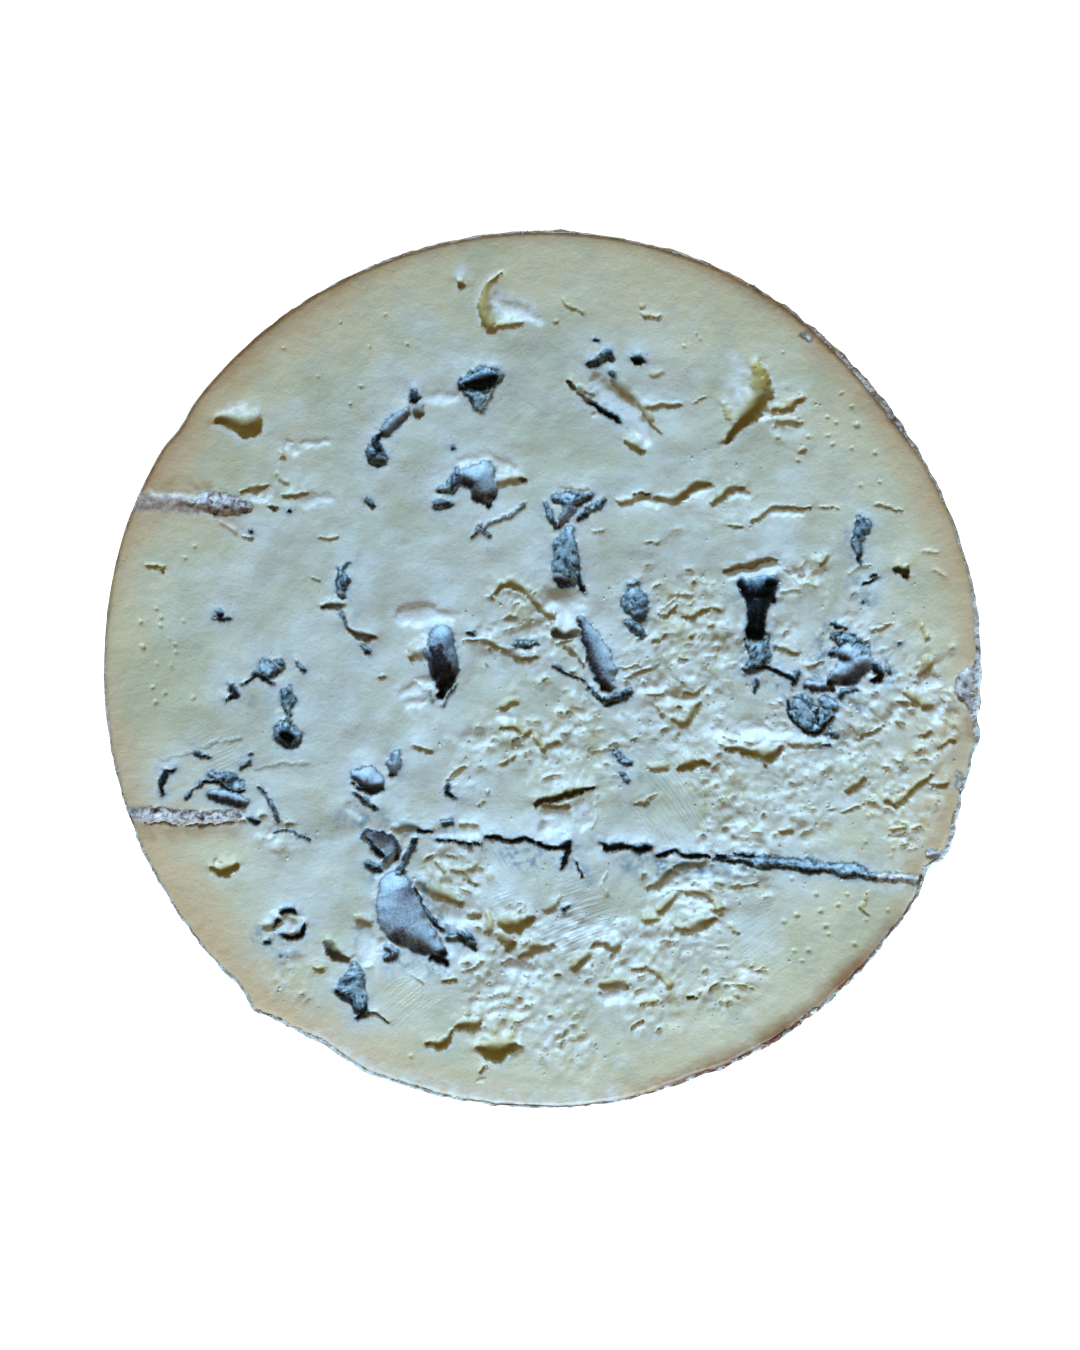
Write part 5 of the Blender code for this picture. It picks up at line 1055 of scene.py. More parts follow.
    def drag_curd(self, x: Array, y: Array, found: dict[str, Array]) -> None:
        """Notes where the knife dragged the curd, with the places along and across its furrows."""
        for at_x, at_y, radius, direction, strength in DRAGGED_PATCHES:
            turn = math.radians(direction)
            along = (x - at_x) * math.cos(turn) + (y - at_y) * math.sin(turn)
            across = (y - at_y) * math.cos(turn) - (x - at_x) * math.sin(turn) + 0.012 * along**2
            fade = strength * np.exp(-((along**2 + across**2) / radius**2) ** 1.5)
            stronger = fade > found["drag"]
            found["drag_along"] = np.where(stronger, along, found["drag_along"])
            found["drag_across"] = np.where(stronger, across, found["drag_across"])
            found["drag"] = np.maximum(found["drag"], fade)

    def blush(self, x: Array, y: Array, gap: Array, found: dict[str, Array]) -> None:
        """Notes how far the tan of the rind has gone into the paste."""
        angle = np.arctan2(y - FACE_CENTRE[1], x - FACE_CENTRE[0])
        reach = 1.6 * self.rim_trait(angle, "blush_width")
        wobble = gap + summed_noise(x, y, BLUSH_WANDER)
        found["blush"] = self.rim_trait(angle, "blush") * (1 - np.clip(wobble / reach, 0.0, 1.0)) ** 0.85
        found["blush_hue"] = self.rim_trait(angle, "blush_hue")
        found["rust"] = self.rim_trait(angle, "rust") * np.exp(-((np.maximum(gap, 0.0) / 1.3) ** 2))

    def prick(self, x: Array, y: Array, drop: Array, found: dict[str, Array]) -> None:
        """Cuts the pin holes, with yellow-brown shade painted inside them."""
        for hole_x, hole_y, radius in PIN_HOLES:
            at = self.near(x, y, ((hole_x, hole_y, radius),), 0.8)
            away = np.hypot(x[at] - hole_x, (y[at] - hole_y) * 1.15) / radius
            raise_to(drop, at, 0.9 * radius * np.clip(1.25 - away, 0.0, 1.0) ** 0.7)
            # Painted shade: yellow-brown inside each hole.
            raise_to(found["ochre_painted_shade"], at, 0.5 * (away < 1))

    def crease(self, x: Array, y: Array, drop: Array, found: dict[str, Array]) -> None:
        """Cuts the fine creases, painted dark where mould grows in them and as painted shade in the cut."""
        for depth, dark, spine in CREASES:
            at = self.near(x, y, spine, 0.8)
            away, width, _, _ = spine_distance(x[at], y[at], spine)
            notch = np.clip(0.7 - away / (2 * width), 0.0, 1.0)
            raise_to(drop, at, depth * notch)
            # The crease is painted dark, partly for mould in it and partly as painted shade in the cut.
            raise_to(found["line"], at, dark * np.clip(1.6 * notch, 0.0, 1.0))
            raise_to(found["grey"], at, 0.5 * dark * np.exp(-np.maximum(away, 0.0) / 0.35))

    def spread(self, x: Array, y: Array, smear: Smear, cover: Array) -> None:
        """Adds one smear to a cover, fading out round it."""
        at = self.near(x, y, smear.spine, 2.5)
        away = spine_distance(x[at], y[at], smear.spine)[0]
        mottle = 0.75 + 0.5 * soft_noise(x[at], y[at], 0.8, 51)
        raise_to(cover, at, smear.strength * mottle * (1 - step(-0.5, 1.6, away)))

    def curd_pits(self, x: Array, y: Array, drop: Array, found: dict[str, Array]) -> None:
        """Cuts small lens-shaped hollows where the curd is torn, at most one for a cell of a grid, with
        yellow-brown shade painted inside each and a painted highlight on its lip towards the foot of the
        picture.
        """
        cell, everywhere = 2.7, slice(None)
        i, j = np.floor(x / cell).astype(np.int64), np.floor(y / cell).astype(np.int64)
        for di, dj in NEIGHBOURS:
            ci, cj = i + di, j + dj
            at_x, at_y = (ci + cell_hash(ci, cj, 501)) * cell, (cj + cell_hash(ci, cj, 502)) * cell
            half = 0.2 + 1.0 * cell_hash(ci, cj, 503) ** 2
            radius = 0.2 + 0.38 * cell_hash(ci, cj, 504) ** 2
            turn = np.radians(60.0 * cell_hash(ci, cj, 505) - 20.0)
            along = np.abs((x - at_x) * np.cos(turn) + (y - at_y) * np.sin(turn))
            across = (y - at_y) * np.cos(turn) - (x - at_x) * np.sin(turn)
            taper = radius * (1 - 0.4 * np.minimum(along / half, 1.0))
            away = np.hypot(np.maximum(along - half, 0.0), across) - taper
            kept = self.torn(at_x, at_y) > 0.15 + 0.65 * cell_hash(ci, cj, 506)
            inwards = np.clip(-away / radius, 0.0, 1.0)
            sink = step(0.0, 1.0, inwards * np.where(across < 0, 2.2, 1.1)) * kept
            raise_to(drop, everywhere, 2.2 * radius * sink)
            # Painted shade: yellow-brown inside each hollow.
            raise_to(found["ochre_painted_shade"], everywhere, 0.75 * sink)
            # Painted highlight: the lip on the side towards the window is painted white.
            lip = kept * (away > 0) * (across < 0) * np.exp(-np.maximum(away, 0.0) / 0.35)
            raise_to(found["pale_and_painted_highlight"], everywhere, 0.6 * lip)

    def raise_flakes(self, x: Array, y: Array, height: Array, found: dict[str, Array],
                     stands: tuple[Stand, ...]) -> None:
        """Raises the plates and lumps of curd that stand in the ways given."""
        for flake in (flake for flake in self.flakes if flake.stand in stands):
            at = self.near(x, y, flake.spine, 1.6)
            away, width, out_x, out_y = spine_distance(x[at], y[at], flake.spine)
            share = step(0.0, flake.edge, -away)
            inwards = np.clip(-away / width, 0.0, 1.0)
            # The white laid on flakes is partly the whiter curd and partly painted highlight on faces that
            # catch the window light.
            white = 0.45 * share
            if flake.stand is NUGGET:
                height[at] = height[at] * (1 - share) + (flake.height - 0.35 * (1 - inwards) ** 2) * share
                white = 0.85 * share
                for cover in ("mould", "brown", "ochre_painted_shade", "line"):
                    found[cover][at] *= 1 - 0.9 * share
            elif flake.stand is DOME:
                height[at] = height[at] + flake.height * step(-0.5, flake.edge, -away)
                white = step(-0.7, 0.4, -away)
            else:
                southwards = (0.26 * out_x - 0.97 * out_y) * (1 - inwards)
                share = share * (1 - step(-0.2, 1.0, southwards))
                height[at] = height[at] + flake.height * share
            raise_to(found["pale_and_painted_highlight"], at, white)

    def cut_openings(self, x: Array, y: Array, crust: MouldCrust, found: dict[str, Array]) -> Array:
        """Lowers the face at every opening and notes what covers it.

        Args:
            x: places along X.
            y: places along Y.
            crust: the mould crust at every place.
            found: the covers, which are filled in.

        Returns:
            How far the face drops at each place.
        """
        drop, rise = np.zeros(x.shape), np.zeros(x.shape)
        for opening in self.openings:
            at = self.near(x, y, opening.spine, self.reach)
            away, width, out_x, out_y = spine_distance(x[at], y[at], opening.spine)
            turn = math.radians(opening.steep)
            facing = out_x * math.cos(turn) + out_y * math.sin(turn)
            steep = 0.5 + 0.5 * facing
            inwards = np.clip(-away / width, 0.0, 1.0)
            across = facing * (1 - inwards)
            lip = min(0.2 * opening.depth, 1.1) * (1 - steep) ** 1.3
            slope = step(-1.35, 0.6, across) * (1 - (1 - inwards) ** (1.15 + 5 * steep))
            sag = 0.3 + (0.5 + 0.35 * math.sqrt(opening.depth)) * (1 - steep)
            deeper = np.where(away < 0, lip + (opening.depth - lip) * slope,
                              lip * np.exp(-np.maximum(away, 0.0) / sag))
            covered = 1 - step(-0.12, 0.08, away)
            wins = covered * (deeper >= 0.75 * drop[at])
            found["crumb"][at] *= 1 - covered
            raise_to(drop, at, deeper)
            broken = np.clip(0.6 + 0.9 * crust.fuzz[at], 0.0, 1.2)
            crisp = opening.fullness * step(0.45, 0.9, steep) * broken
            raise_to(rise, at, 0.26 * crisp * np.exp(-(((away - 0.42) / 0.36) ** 2)))
            self.line_opening(opening, Lie(at, away, steep, inwards, across, wins), crust, found)
        return drop - rise

    def line_opening(self, opening: Opening, lie: Lie, crust: MouldCrust, found: dict[str, Array]) -> None:
        """Notes what covers one opening, inside it and round its edge, with painted shade towards its steep
        wall and painted highlights on its easy slope and lip.

        Args:
            opening: the opening.
            lie: how the places near it lie to it.
            crust: the mould crust at every place.
            found: the covers, which are filled in.
        """
        lining, full = opening.lining, opening.fullness
        at, wins, fuzz = lie.at, lie.wins, crust.fuzz[lie.at]

        def lay(name: str, share: Array | float) -> None:
            """Lays a cover where the opening shows, in place of what an earlier opening laid there."""
            found[name][at] = found[name][at] * (1 - wins) + share * wins

        # Painted shade: yellow-brown laid over the opening, growing towards its steep wall, which is in
        # shade.
        lay("ochre_painted_shade", step(-1.0, 0.2, lie.across) * (0.5 + 0.5 * full))
        # Painted shade: brown openings are painted browner towards their steep wall, which is in shade.
        lay("brown", step(-0.8, 0.35, lie.across) * (lining is BROWN))
        lay("mould", float(lining in MOULDY))
        lay("pink", float(lining is PINK))
        lay("crust", float(lining is CRUST))
        crust.shows[at] = crust.shows[at] * (1 - wins) + wins * CRUSTINESS.get(lining, 0.0)
        if lining is VELVET:
            # Painted light and shade: velvet is painted lighter on the easy slope that faces the window, and
            # darker and more plum towards the steep wall in shade.
            lay("plum", step(-0.7, 0.1, lie.across))
            lay("lining_tone_and_painted_shade", np.interp(lie.across, *VELVET_LIT_TO_SHADED) + 0.06 * fuzz)
        elif lining is BLACK:
            # Painted shade: the black lining is painted darker towards its steep wall in shade and deep
            # inside, and lighter at its edge.
            lining_tone_and_painted_shade = np.interp(lie.across, *BLACK_LIT_TO_SHADED)
            lay("lining_tone_and_painted_shade", lining_tone_and_painted_shade + 0.22 * np.exp(-lie.inwards / 0.1) + 0.05 * fuzz)
        elif lining in (MOULD, CRUST):
            # Painted light and shade: raised facets are painted lighter, the crevices between them darker,
            # and the lining darker towards the steep wall in shade.
            painted_crevice_shade = 1 - step(0.0, 0.2, crust.crevice[at])
            lining_tone_and_painted_shade = 0.74 + 0.30 * crust.facet[at] + 0.16 * fuzz - 0.45 * painted_crevice_shade
            lay("lining_tone_and_painted_shade", np.clip(lining_tone_and_painted_shade - 0.30 * step(0.3, 0.95, lie.across) * full, 0.03, 1.0))
        outside = np.maximum(lie.away, 0.0)
        if lining in MOULDY:
            margin = lie.away > -0.1
            # The whitened margin of mould, partly painted highlight: painted stronger on the easy slope,
            # which faces the window, than beside the steep wall.
            spill_and_painted_highlight = (0.45 + 0.5 * full) * (1 - 0.4 * lie.steep) * np.exp(-outside / 0.9)
            raise_to(found["pale_and_painted_highlight"], at, (spill_and_painted_highlight + 0.5 * full * np.exp(-outside / 2.6)) * margin)
            halo = 0.55 * np.exp(-outside / 0.25) + 0.30 * np.exp(-outside / 1.1)
            raise_to(found["grey"], at, halo * margin)
            # A dark line of mould along the edge, partly painted shade: painted heavier towards the steep
            # wall in shade, and in black openings only there.
            dark = (0.6 + 0.4 * lie.steep) * np.clip(0.75 + 0.6 * fuzz, 0.0, 1.0)
            if lining is BLACK:
                dark = dark * lie.steep
            raise_to(found["line"], at, dark * np.exp(-(((lie.away + 0.1) / 0.15) ** 2)))
        # Painted highlight: a white band just outside the steep wall of deep openings, where its crumbly lip
        # catches the window light.
        painted_lip_highlight = 0.95 * full * step(0.45, 0.85, lie.steep) * np.exp(-outside / 0.6)
        raise_to(found["pale_and_painted_highlight"], at, painted_lip_highlight * (lie.away > 0))


def linear(code: str) -> tuple[float, float, float, float]:
    """A colour from its sRGB hex code, made linear."""
    parts = [int(code[i:i + 2], 16) / 255 for i in (1, 3, 5)]
    red, green, blue = (p / 12.92 if p <= 0.04045 else ((p + 0.055) / 1.055) ** 2.4 for p in parts)
    return red, green, blue, 1.0


def add_node(tree: bpy.types.NodeTree, kind: str, settings: dict | None = None, inputs: dict | None = None,
             stops: tuple[tuple[float, str], ...] = ()) -> bpy.types.Node:
    """Adds a node with its settings, values, links and colours.

    Args:
        tree: the node tree it joins.
        kind: its type name.
        settings: its properties.
        inputs: by socket name or number, a value, an sRGB hex code, or the socket to link from.
        stops: the places and sRGB hex codes of a colour ramp.

    Returns:
        The node.
    """
    node = tree.nodes.new(kind)
    for name, value in (settings or {}).items():
        setattr(node, name, value)
    for name, value in (inputs or {}).items():
        if isinstance(value, bpy.types.NodeSocket):
            tree.links.new(value, node.inputs[name])
        else:
            is_colour = isinstance(value, str) and value.startswith("#")
            node.inputs[name].default_value = linear(value) if is_colour else value
    if stops:
        band = node.color_ramp
        while len(band.elements) < len(stops):
            band.elements.new(0.5)
        for element, (at, code) in zip(band.elements, stops):
            element.position, element.color = at, linear(code)
    return node


class Recipe:
    """A material in the making: one Principled shader and the nodes that feed it."""

    def __init__(self, name: str) -> None:
        """Starts a material.

        Args:
            name: the material's name.
        """
        self.material = bpy.data.materials.new(name)
        self.material.use_nodes = True
        self.tree = self.material.node_tree
        self.shader = next(n for n in self.tree.nodes if n.type == "BSDF_PRINCIPLED")

    def add(self, kind: str, settings: dict | None = None, inputs: dict | None = None,
            stops: tuple[tuple[float, str], ...] = ()) -> bpy.types.NodeSocket:
        """Adds a node whose inputs may also name covers of the piece.

        Args:
            kind: its type name, without "ShaderNode".
            settings: its properties.
            inputs: as add_node takes them, or the name of a cover to read.
            stops: the places and sRGB hex codes of a colour ramp.

        Returns:
            Its output: the colour of a mix or a ramp, the strength of a pattern, or the first one.
        """
        read = {}
        for name, value in (inputs or {}).items():
            if isinstance(value, str) and not value.startswith("#"):
                value = self.add("Attribute", {"attribute_name": value})
            read[name] = value
        node = add_node(self.tree, "ShaderNode" + kind, settings, read, stops)
        shown = {"Mix": 2, "Attribute": "Fac", "TexNoise": "Fac", "TexCoord": "Object"}.get(kind, 0)
        return node.outputs[shown]

    def grain(self, size: float, detail: float, rough: float, seed: float) -> bpy.types.NodeSocket:
        """Noise on the piece's own coordinates, about 0.3 to 0.7.

        Args:
            size: size of one lump in millimetres.
            detail: layers of finer noise.
            rough: how strong the finer layers are.
            seed: where in the noise the piece lies.

        Returns:
            The noise.
        """
        moved = {"Vector": self.add("TexCoord"), "Location": (seed, 2 * seed, -seed)}
        return self.add("TexNoise", {"noise_dimensions": "3D"}, {
            "Vector": self.add("Mapping", None, moved), "Scale": 1 / (size * MM), "Detail": detail,
            "Roughness": rough})

    def wander(self, value: Socket, pattern: bpy.types.NodeSocket, far: float) -> bpy.types.NodeSocket:
        """A value that a pattern moves up and down by as much as half of far."""
        even = self.add("Math", {"operation": "SUBTRACT"}, {0: pattern, 1: 0.5})
        return self.add("Math", {"operation": "MULTIPLY_ADD"}, {0: even, 1: far, 2: value})

    def lay(self, under: Socket, colour: Socket, cover: Socket | None = None, pattern: Socket | None = None,
            window: tuple[float, float] = (0.0, 1.0), share: tuple[float, float] = (0.0, 1.0)
            ) -> bpy.types.NodeSocket:
        """Lays a colour over another, where a cover and a pattern let it show.

        Args:
            under: the colour below.
            colour: the colour that is laid.
            cover: where it lies.
            pattern: what breaks it up.
            window: the values of the pattern between which it comes in.
            share: how much of it shows at the two ends of the window.

        Returns:
            The colour that shows.
        """
        shows = cover
        if pattern is not None:
            ends = {1: window[0], 2: window[1], 3: share[0], 4: share[1]}
            shows = self.add("MapRange", SMOOTH, {0: pattern, **ends})
            if cover is not None:
                shows = self.add("Math", {"operation": "MULTIPLY"}, {0: cover, 1: shows})
        return self.add("Mix", {"data_type": "RGBA", "blend_type": "MIX", "clamp_factor": True},
                        {0: shows, 6: under, 7: colour})

    def finish(self, colour: bpy.types.NodeSocket | str, roughness: float,
               bumps: tuple[tuple[bpy.types.NodeSocket, float, float], ...] = ()) -> bpy.types.Material:
        """Feeds the shader.

        Args:
            colour: the base colour.
            roughness: the roughness.
            bumps: heights, each with its depth in millimetres and its strength.

        Returns:
            The finished material.
        """
        self.shader.inputs["Roughness"].default_value = roughness
        if isinstance(colour, str):
            self.shader.inputs["Base Color"].default_value = linear(colour)
        else:
            self.tree.links.new(colour, self.shader.inputs["Base Color"])
        normal = {}
        for height, depth, strength in bumps:
            values = {"Height": height, "Distance": depth * MM, "Strength": strength, **normal}
            normal = {"Normal": self.add("Bump", None, values)}
        if normal:
            self.tree.links.new(normal["Normal"], self.shader.inputs["Normal"])
        return self.material


@dataclass(frozen=True)
class PasteFinish:
    """Ripe cow's milk paste with blue mould: moist and translucent, yellower at the rim, whiter inside."""

    name: str = "paste_and_mould"
    rim_width: float = 30.0
    roughness: float = 0.42
    translucency: float = 0.18
    # How far red, green and blue light travel in the paste, in millimetres
    scatter: tuple[float, float, float] = (3.0, 1.2, 0.5)
    shine: float = 0.5

    def make(self) -> bpy.types.Material:
        """Builds the material, which reads the covers of the cut face."""
        mix = Recipe(self.name)
        face = self.moulds(mix, self.shadows(mix, self.cream(mix)))
        mix.shader.subsurface_method = "BURLEY"
        for label, value in (("Subsurface Weight", self.translucency), ("Subsurface Radius", self.scatter),
                             ("Subsurface Scale", MM), ("Specular IOR Level", self.shine)):
            mix.shader.inputs[label].default_value = value
        return mix.finish(face, self.roughness, self.bumps(mix))

    def cream(self, mix: Recipe) -> bpy.types.NodeSocket:
        """The colour of sound paste: cream, whiter in the middle, tan where the rind has coloured it."""
        gap = mix.wander("rim_gap", mix.grain(14.0, 1.0, 0.55, 0.0), 14.0)
        ripeness = mix.add("MapRange", SMOOTH, {0: gap, 1: 0.0, 2: self.rim_width})
        paste = mix.add("ValToRGB", None, {0: ripeness}, (
            (0.0, "#EADBB4"), (0.25, "#EBE0BD"), (0.55, "#E4DFC9"), (1.0, "#DDDDCE")))
        inside = mix.add("MapRange", SMOOTH, {0: gap, 1: 4.0, 2: 20.0, 3: 0.05, 4: 0.65})
        paste = mix.lay(paste, "#ECF3F0", inside, mix.grain(7.0, 2.0, 0.5, 3.0), (0.42, 0.68))
        paste = mix.lay(paste, "#CFCBA8", None, mix.grain(10.0, 1.0, 0.5, 7.0), (0.44, 0.66), (0.0, 0.6))
        paste = mix.lay(paste, "#C9CEC4", None, mix.grain(3.6, 1.0, 0.6, 5.0), (0.50, 0.72), (0.0, 0.25))
        paste = mix.lay(paste, mix.lay("#F8D2A4", "#A06A3C", "blush_hue"), "blush")
        paste = mix.lay(paste, "#9C5A24", "rust", mix.grain(2.4, 1.0, 0.6, 9.0), (0.32, 0.52))
        return mix.lay(paste, "#C79A66", "stain")

    def shadows(self, mix: Recipe, paste: bpy.types.NodeSocket) -> bpy.types.NodeSocket:
        """The deeper colours of torn curd and of openings without mould, which are painted shade:
        yellow-brown where they lie in shade, and in brown openings a brown that darkens towards the shaded
        steep wall; with the white of torn crumbs.
        """
        # Painted shade: yellow-brown where torn curd and bare openings lie in shade.
        paste = mix.lay(paste, "#C0AC64", "ochre_painted_shade")
        paste = mix.lay(paste, "#F5F7F2", "crumb", mix.grain(1.6, 1.0, 0.6, 11.0), (0.42, 0.60), (0.0, 0.6))
        # This ramp darkens as the brown grows towards the steep wall: painted shade.
        brown = mix.add("ValToRGB", None, {0: "brown"}, (
            (0.0, "#B0AA80"), (0.5, "#857B4C"), (1.0, "#4E4526")))
        return mix.lay(paste, brown, None, "brown", (0.0, 0.3))

    def moulds(self, mix: Recipe, paste: bpy.types.NodeSocket) -> bpy.types.NodeSocket:
        """The blue mould with its painted light and shade, its grey margins, its whitened margins with
        painted highlights, and the growth of the needle holes.
        """
        speck, patch = mix.grain(0.42, 2.0, 0.65, 13.0), mix.grain(1.3, 1.0, 0.6, 17.0)
        # The painted light and shade of the linings drive these ramps, from painted shade at their dark ends
        # to painted light at their light ends.
        lining_tone_and_painted_shade = mix.wander("lining_tone_and_painted_shade", speck, 0.8)
        teal = mix.add("ValToRGB", None, {0: lining_tone_and_painted_shade}, (
            (0.0, "#0C0F12"), (0.25, "#2B3840"), (0.5, "#627682"), (0.75, "#9DB8C6"), (1.0, "#CAE0EA")))
        plum = mix.add("ValToRGB", None, {0: lining_tone_and_painted_shade}, (
            (0.0, "#0E0C0F"), (0.25, "#383139"), (0.5, "#757480"), (0.75, "#A6B4C2"), (1.0, "#C8DCE8")))
        crust = mix.add("ValToRGB", None, {0: lining_tone_and_painted_shade}, (
            (0.1, "#4A4344"), (0.4, "#8B8084"), (0.6, "#BDB4B2"), (0.9, "#EFECEA")))
        pink = mix.add("ValToRGB", None, {0: patch}, (
            (0.36, "#B49C94"), (0.50, "#D2BCB2"), (0.62, "#E6DAD4")))
        pink = mix.lay(pink, "#7E7C86", None, speck, (0.56, 0.66), (0.0, 0.6))
        # Whitened margins of mould and torn curd, partly painted highlight on the faces that catch the
        # window light.
        face = mix.lay(paste, "#F6FAF8", "pale_and_painted_highlight", patch, (0.34, 0.60), (0.55, 1.15))
        face = mix.lay(face, "#869BA6", "grey", patch, (0.38, 0.58), (0.15, 1.15))
        face = mix.lay(face, pink, "pink")
        face = mix.lay(face, mix.lay(teal, plum, "plum"), "mould")
        face = mix.lay(face, crust, "crust")
        # Dark lines of mould along edges and in creases, partly painted shade.
        return mix.lay(face, "#1B262C", "line", speck, (0.38, 0.58), (1.0, 0.35))

    def bumps(self, mix: Recipe) -> tuple[tuple[bpy.types.NodeSocket, float, float], ...]:
        """The fine relief: the furrows of the knife, soft waves and grain, with depths in millimetres."""
        along, across = (mix.add("Math", {"operation": "MULTIPLY"}, {0: cover, 1: scale})
                         for cover, scale in (("drag_along", 0.14), ("drag_across", 2.0)))
        furrow = mix.add("TexNoise", {"noise_dimensions": "2D"}, {
            "Vector": mix.add("CombineXYZ", None, {"X": along, "Y": across}),
            "Scale": 1.0, "Detail": 1.0, "Roughness": 0.5})
        furrows = mix.add("Math", {"operation": "MULTIPLY"}, {0: furrow, 1: "drag"})
        return ((furrows, 0.2, 1.0), (mix.grain(1.9, 3.0, 0.62, 23.0), 0.22, 1.0),
                (mix.grain(0.3, 1.0, 0.6, 19.0), 0.03, 1.0))


@dataclass(frozen=True)
class RindFinish:
    """Thin dry brushed rind: grey-beige, dusted with white and grey bloom, with tan and rust patches."""

    name: str = "dry_bloomy_rind"
    roughness: float = 0.86
    shine: float = 0.25
    # Layers as (colour, cover, grain, window of the grain, share)
    layers: tuple[tuple[str, str | None, tuple, tuple, tuple], ...] = (
        ("#B07B48", None, (9.0, 3.0, 0.6, 37.0), (0.55, 0.68), (0.0, 0.55)),
        ("#E4E0D8", None, (3.8, 5.0, 0.7, 41.0), (0.49, 0.66), (0.0, 0.8)),
        ("#85817F", None, (7.0, 4.0, 0.65, 43.0), (0.52, 0.66), (0.0, 0.75)),
        ("#4A3D33", None, (0.9, 3.0, 0.6, 47.0), (0.64, 0.74), (0.0, 0.7)),
        ("#EEEFEF", "bloom", (0.9, 4.0, 0.65, 53.0), (0.42, 0.54), (0.0, 1.0)),
        ("#8E4E20", "rust", (2.0, 3.0, 0.6, 59.0), (0.42, 0.56), (0.0, 1.0)),
    )

    def make(self) -> bpy.types.Material:
        """Builds the material."""
        mix = Recipe(self.name)
        rind = mix.add("ValToRGB", None, {0: mix.grain(13.0, 4.0, 0.6, 31.0)}, (
            (0.32, "#8F7F69"), (0.45, "#AC9C82"), (0.55, "#BFB39E"), (0.68, "#CEC8BC")))
        for colour, cover, grain, window, share in self.layers:
            rind = mix.lay(rind, colour, cover, mix.grain(*grain), window, share)
        mix.shader.inputs["Specular IOR Level"].default_value = self.shine
        return mix.finish(rind, self.roughness, (
            (mix.grain(2.0, 4.0, 0.6, 61.0), 0.8, 1.0), (mix.grain(0.5, 3.0, 0.6, 67.0), 0.25, 1.0)))


@dataclass(frozen=True)
class PlainGrainFinish:
    """One kind of loose grain, such as dry curd or mould spores, in two near shades."""

    name: str
    dark: str
    light: str
    roughness: float = 0.8
    mottle: float = 0.8

    def make(self) -> bpy.types.Material:
        """Builds the material."""
        mix = Recipe(self.name)
        colour = mix.add("ValToRGB", None, {0: mix.grain(self.mottle, 2.0, 0.5, 71.0)}, (
            (0.36, self.dark), (0.64, self.light)))
        return mix.finish(colour, self.roughness, ((mix.grain(0.3, 2.0, 0.5, 73.0), 0.06, 0.5),))


def mesh_object(name: str, points: Array, faces: Array, covers: dict[str, Array]) -> bpy.types.Object:
    """Makes a smooth-shaded mesh object.

    Args:
        name: the object's name.
        points: places in millimetres.
        faces: triangles, as numbers of points.
        covers: values for each point, kept as attributes.

    Returns:
        The object, linked to the scene.
    """
    mesh = bpy.data.meshes.new(name)
    mesh.vertices.add(len(points))
    mesh.vertices.foreach_set("co", (points * MM).astype(np.float32).ravel())
    mesh.loops.add(3 * len(faces))
    mesh.loops.foreach_set("vertex_index", faces.astype(np.int32).ravel())
    mesh.polygons.add(len(faces))
    mesh.polygons.foreach_set("loop_start", np.arange(0, 3 * len(faces), 3, dtype=np.int32))
    mesh.polygons.foreach_set("use_smooth", np.ones(len(faces), bool))
    mesh.update(calc_edges=True)
    for label, values in covers.items():
        mesh.attributes.new(label, "FLOAT", "POINT").data.foreach_set("value", values.astype(np.float32))
    return in_scene(bpy.data.objects.new(name, mesh))


def in_scene(made: bpy.types.Object) -> bpy.types.Object:
    """Links an object to the scene."""
    bpy.context.scene.collection.objects.link(made)
    return made


def on_circle(radius: Array, angle: Array) -> Array:
    """Places round the centre of the cut face, from distances and angles."""
    return np.stack([FACE_CENTRE[0] + radius * np.cos(angle), FACE_CENTRE[1] + radius * np.sin(angle)], 1)


def wall(upper: Array, lower: Array) -> Array:
    """Triangles between two rows of points that run round the cheese, facing outwards."""
    return np.concatenate([np.stack([upper, lower, np.roll(upper, -1)], 1),
                           np.stack([np.roll(upper, -1), lower, np.roll(lower, -1)], 1)])


def cap(row: Array, middle: int) -> Array:
    """Triangles from a row of points that runs round the cheese to a middle point, facing down."""
    return np.stack([row, np.full(len(row), middle), np.roll(row, -1)], 1)


def even_disc(rings: int) -> tuple[Array, Array, Array]:
    """A disc of even triangles, ring by ring.

    Args:
        rings: how many rings it has.

    Returns:
        For each point its distance from the middle, from 0 to 1, and its angle, and the triangles.
    """
    first = [0] + [1 + 3 * k * (k - 1) for k in range(1, rings + 2)]
    out = np.concatenate([[0.0]] + [np.full(6 * k, k / rings) for k in range(1, rings + 1)])
    angle = np.concatenate([[0.0]] + [
        np.arange(6 * k) * 2 * math.pi / (6 * k) for k in range(1, rings + 1)])
    faces = []
    for k in range(1, rings + 1):
        sector, i = np.divmod(np.arange(6 * k), k)
        outer, outer_next = (first[k] + (sector * k + i + n) % (6 * k) for n in (0, 1))
        below = max(6 * (k - 1), 1)
        inner, inner_next = (first[k - 1] + (sector * (k - 1) + i + n) % below for n in (0, 1))
        faces.append(np.stack([inner, outer, outer_next], 1))
        faces.append(np.stack([inner, outer_next, inner_next], 1)[i < k - 1])
    return out, angle, np.concatenate(faces)


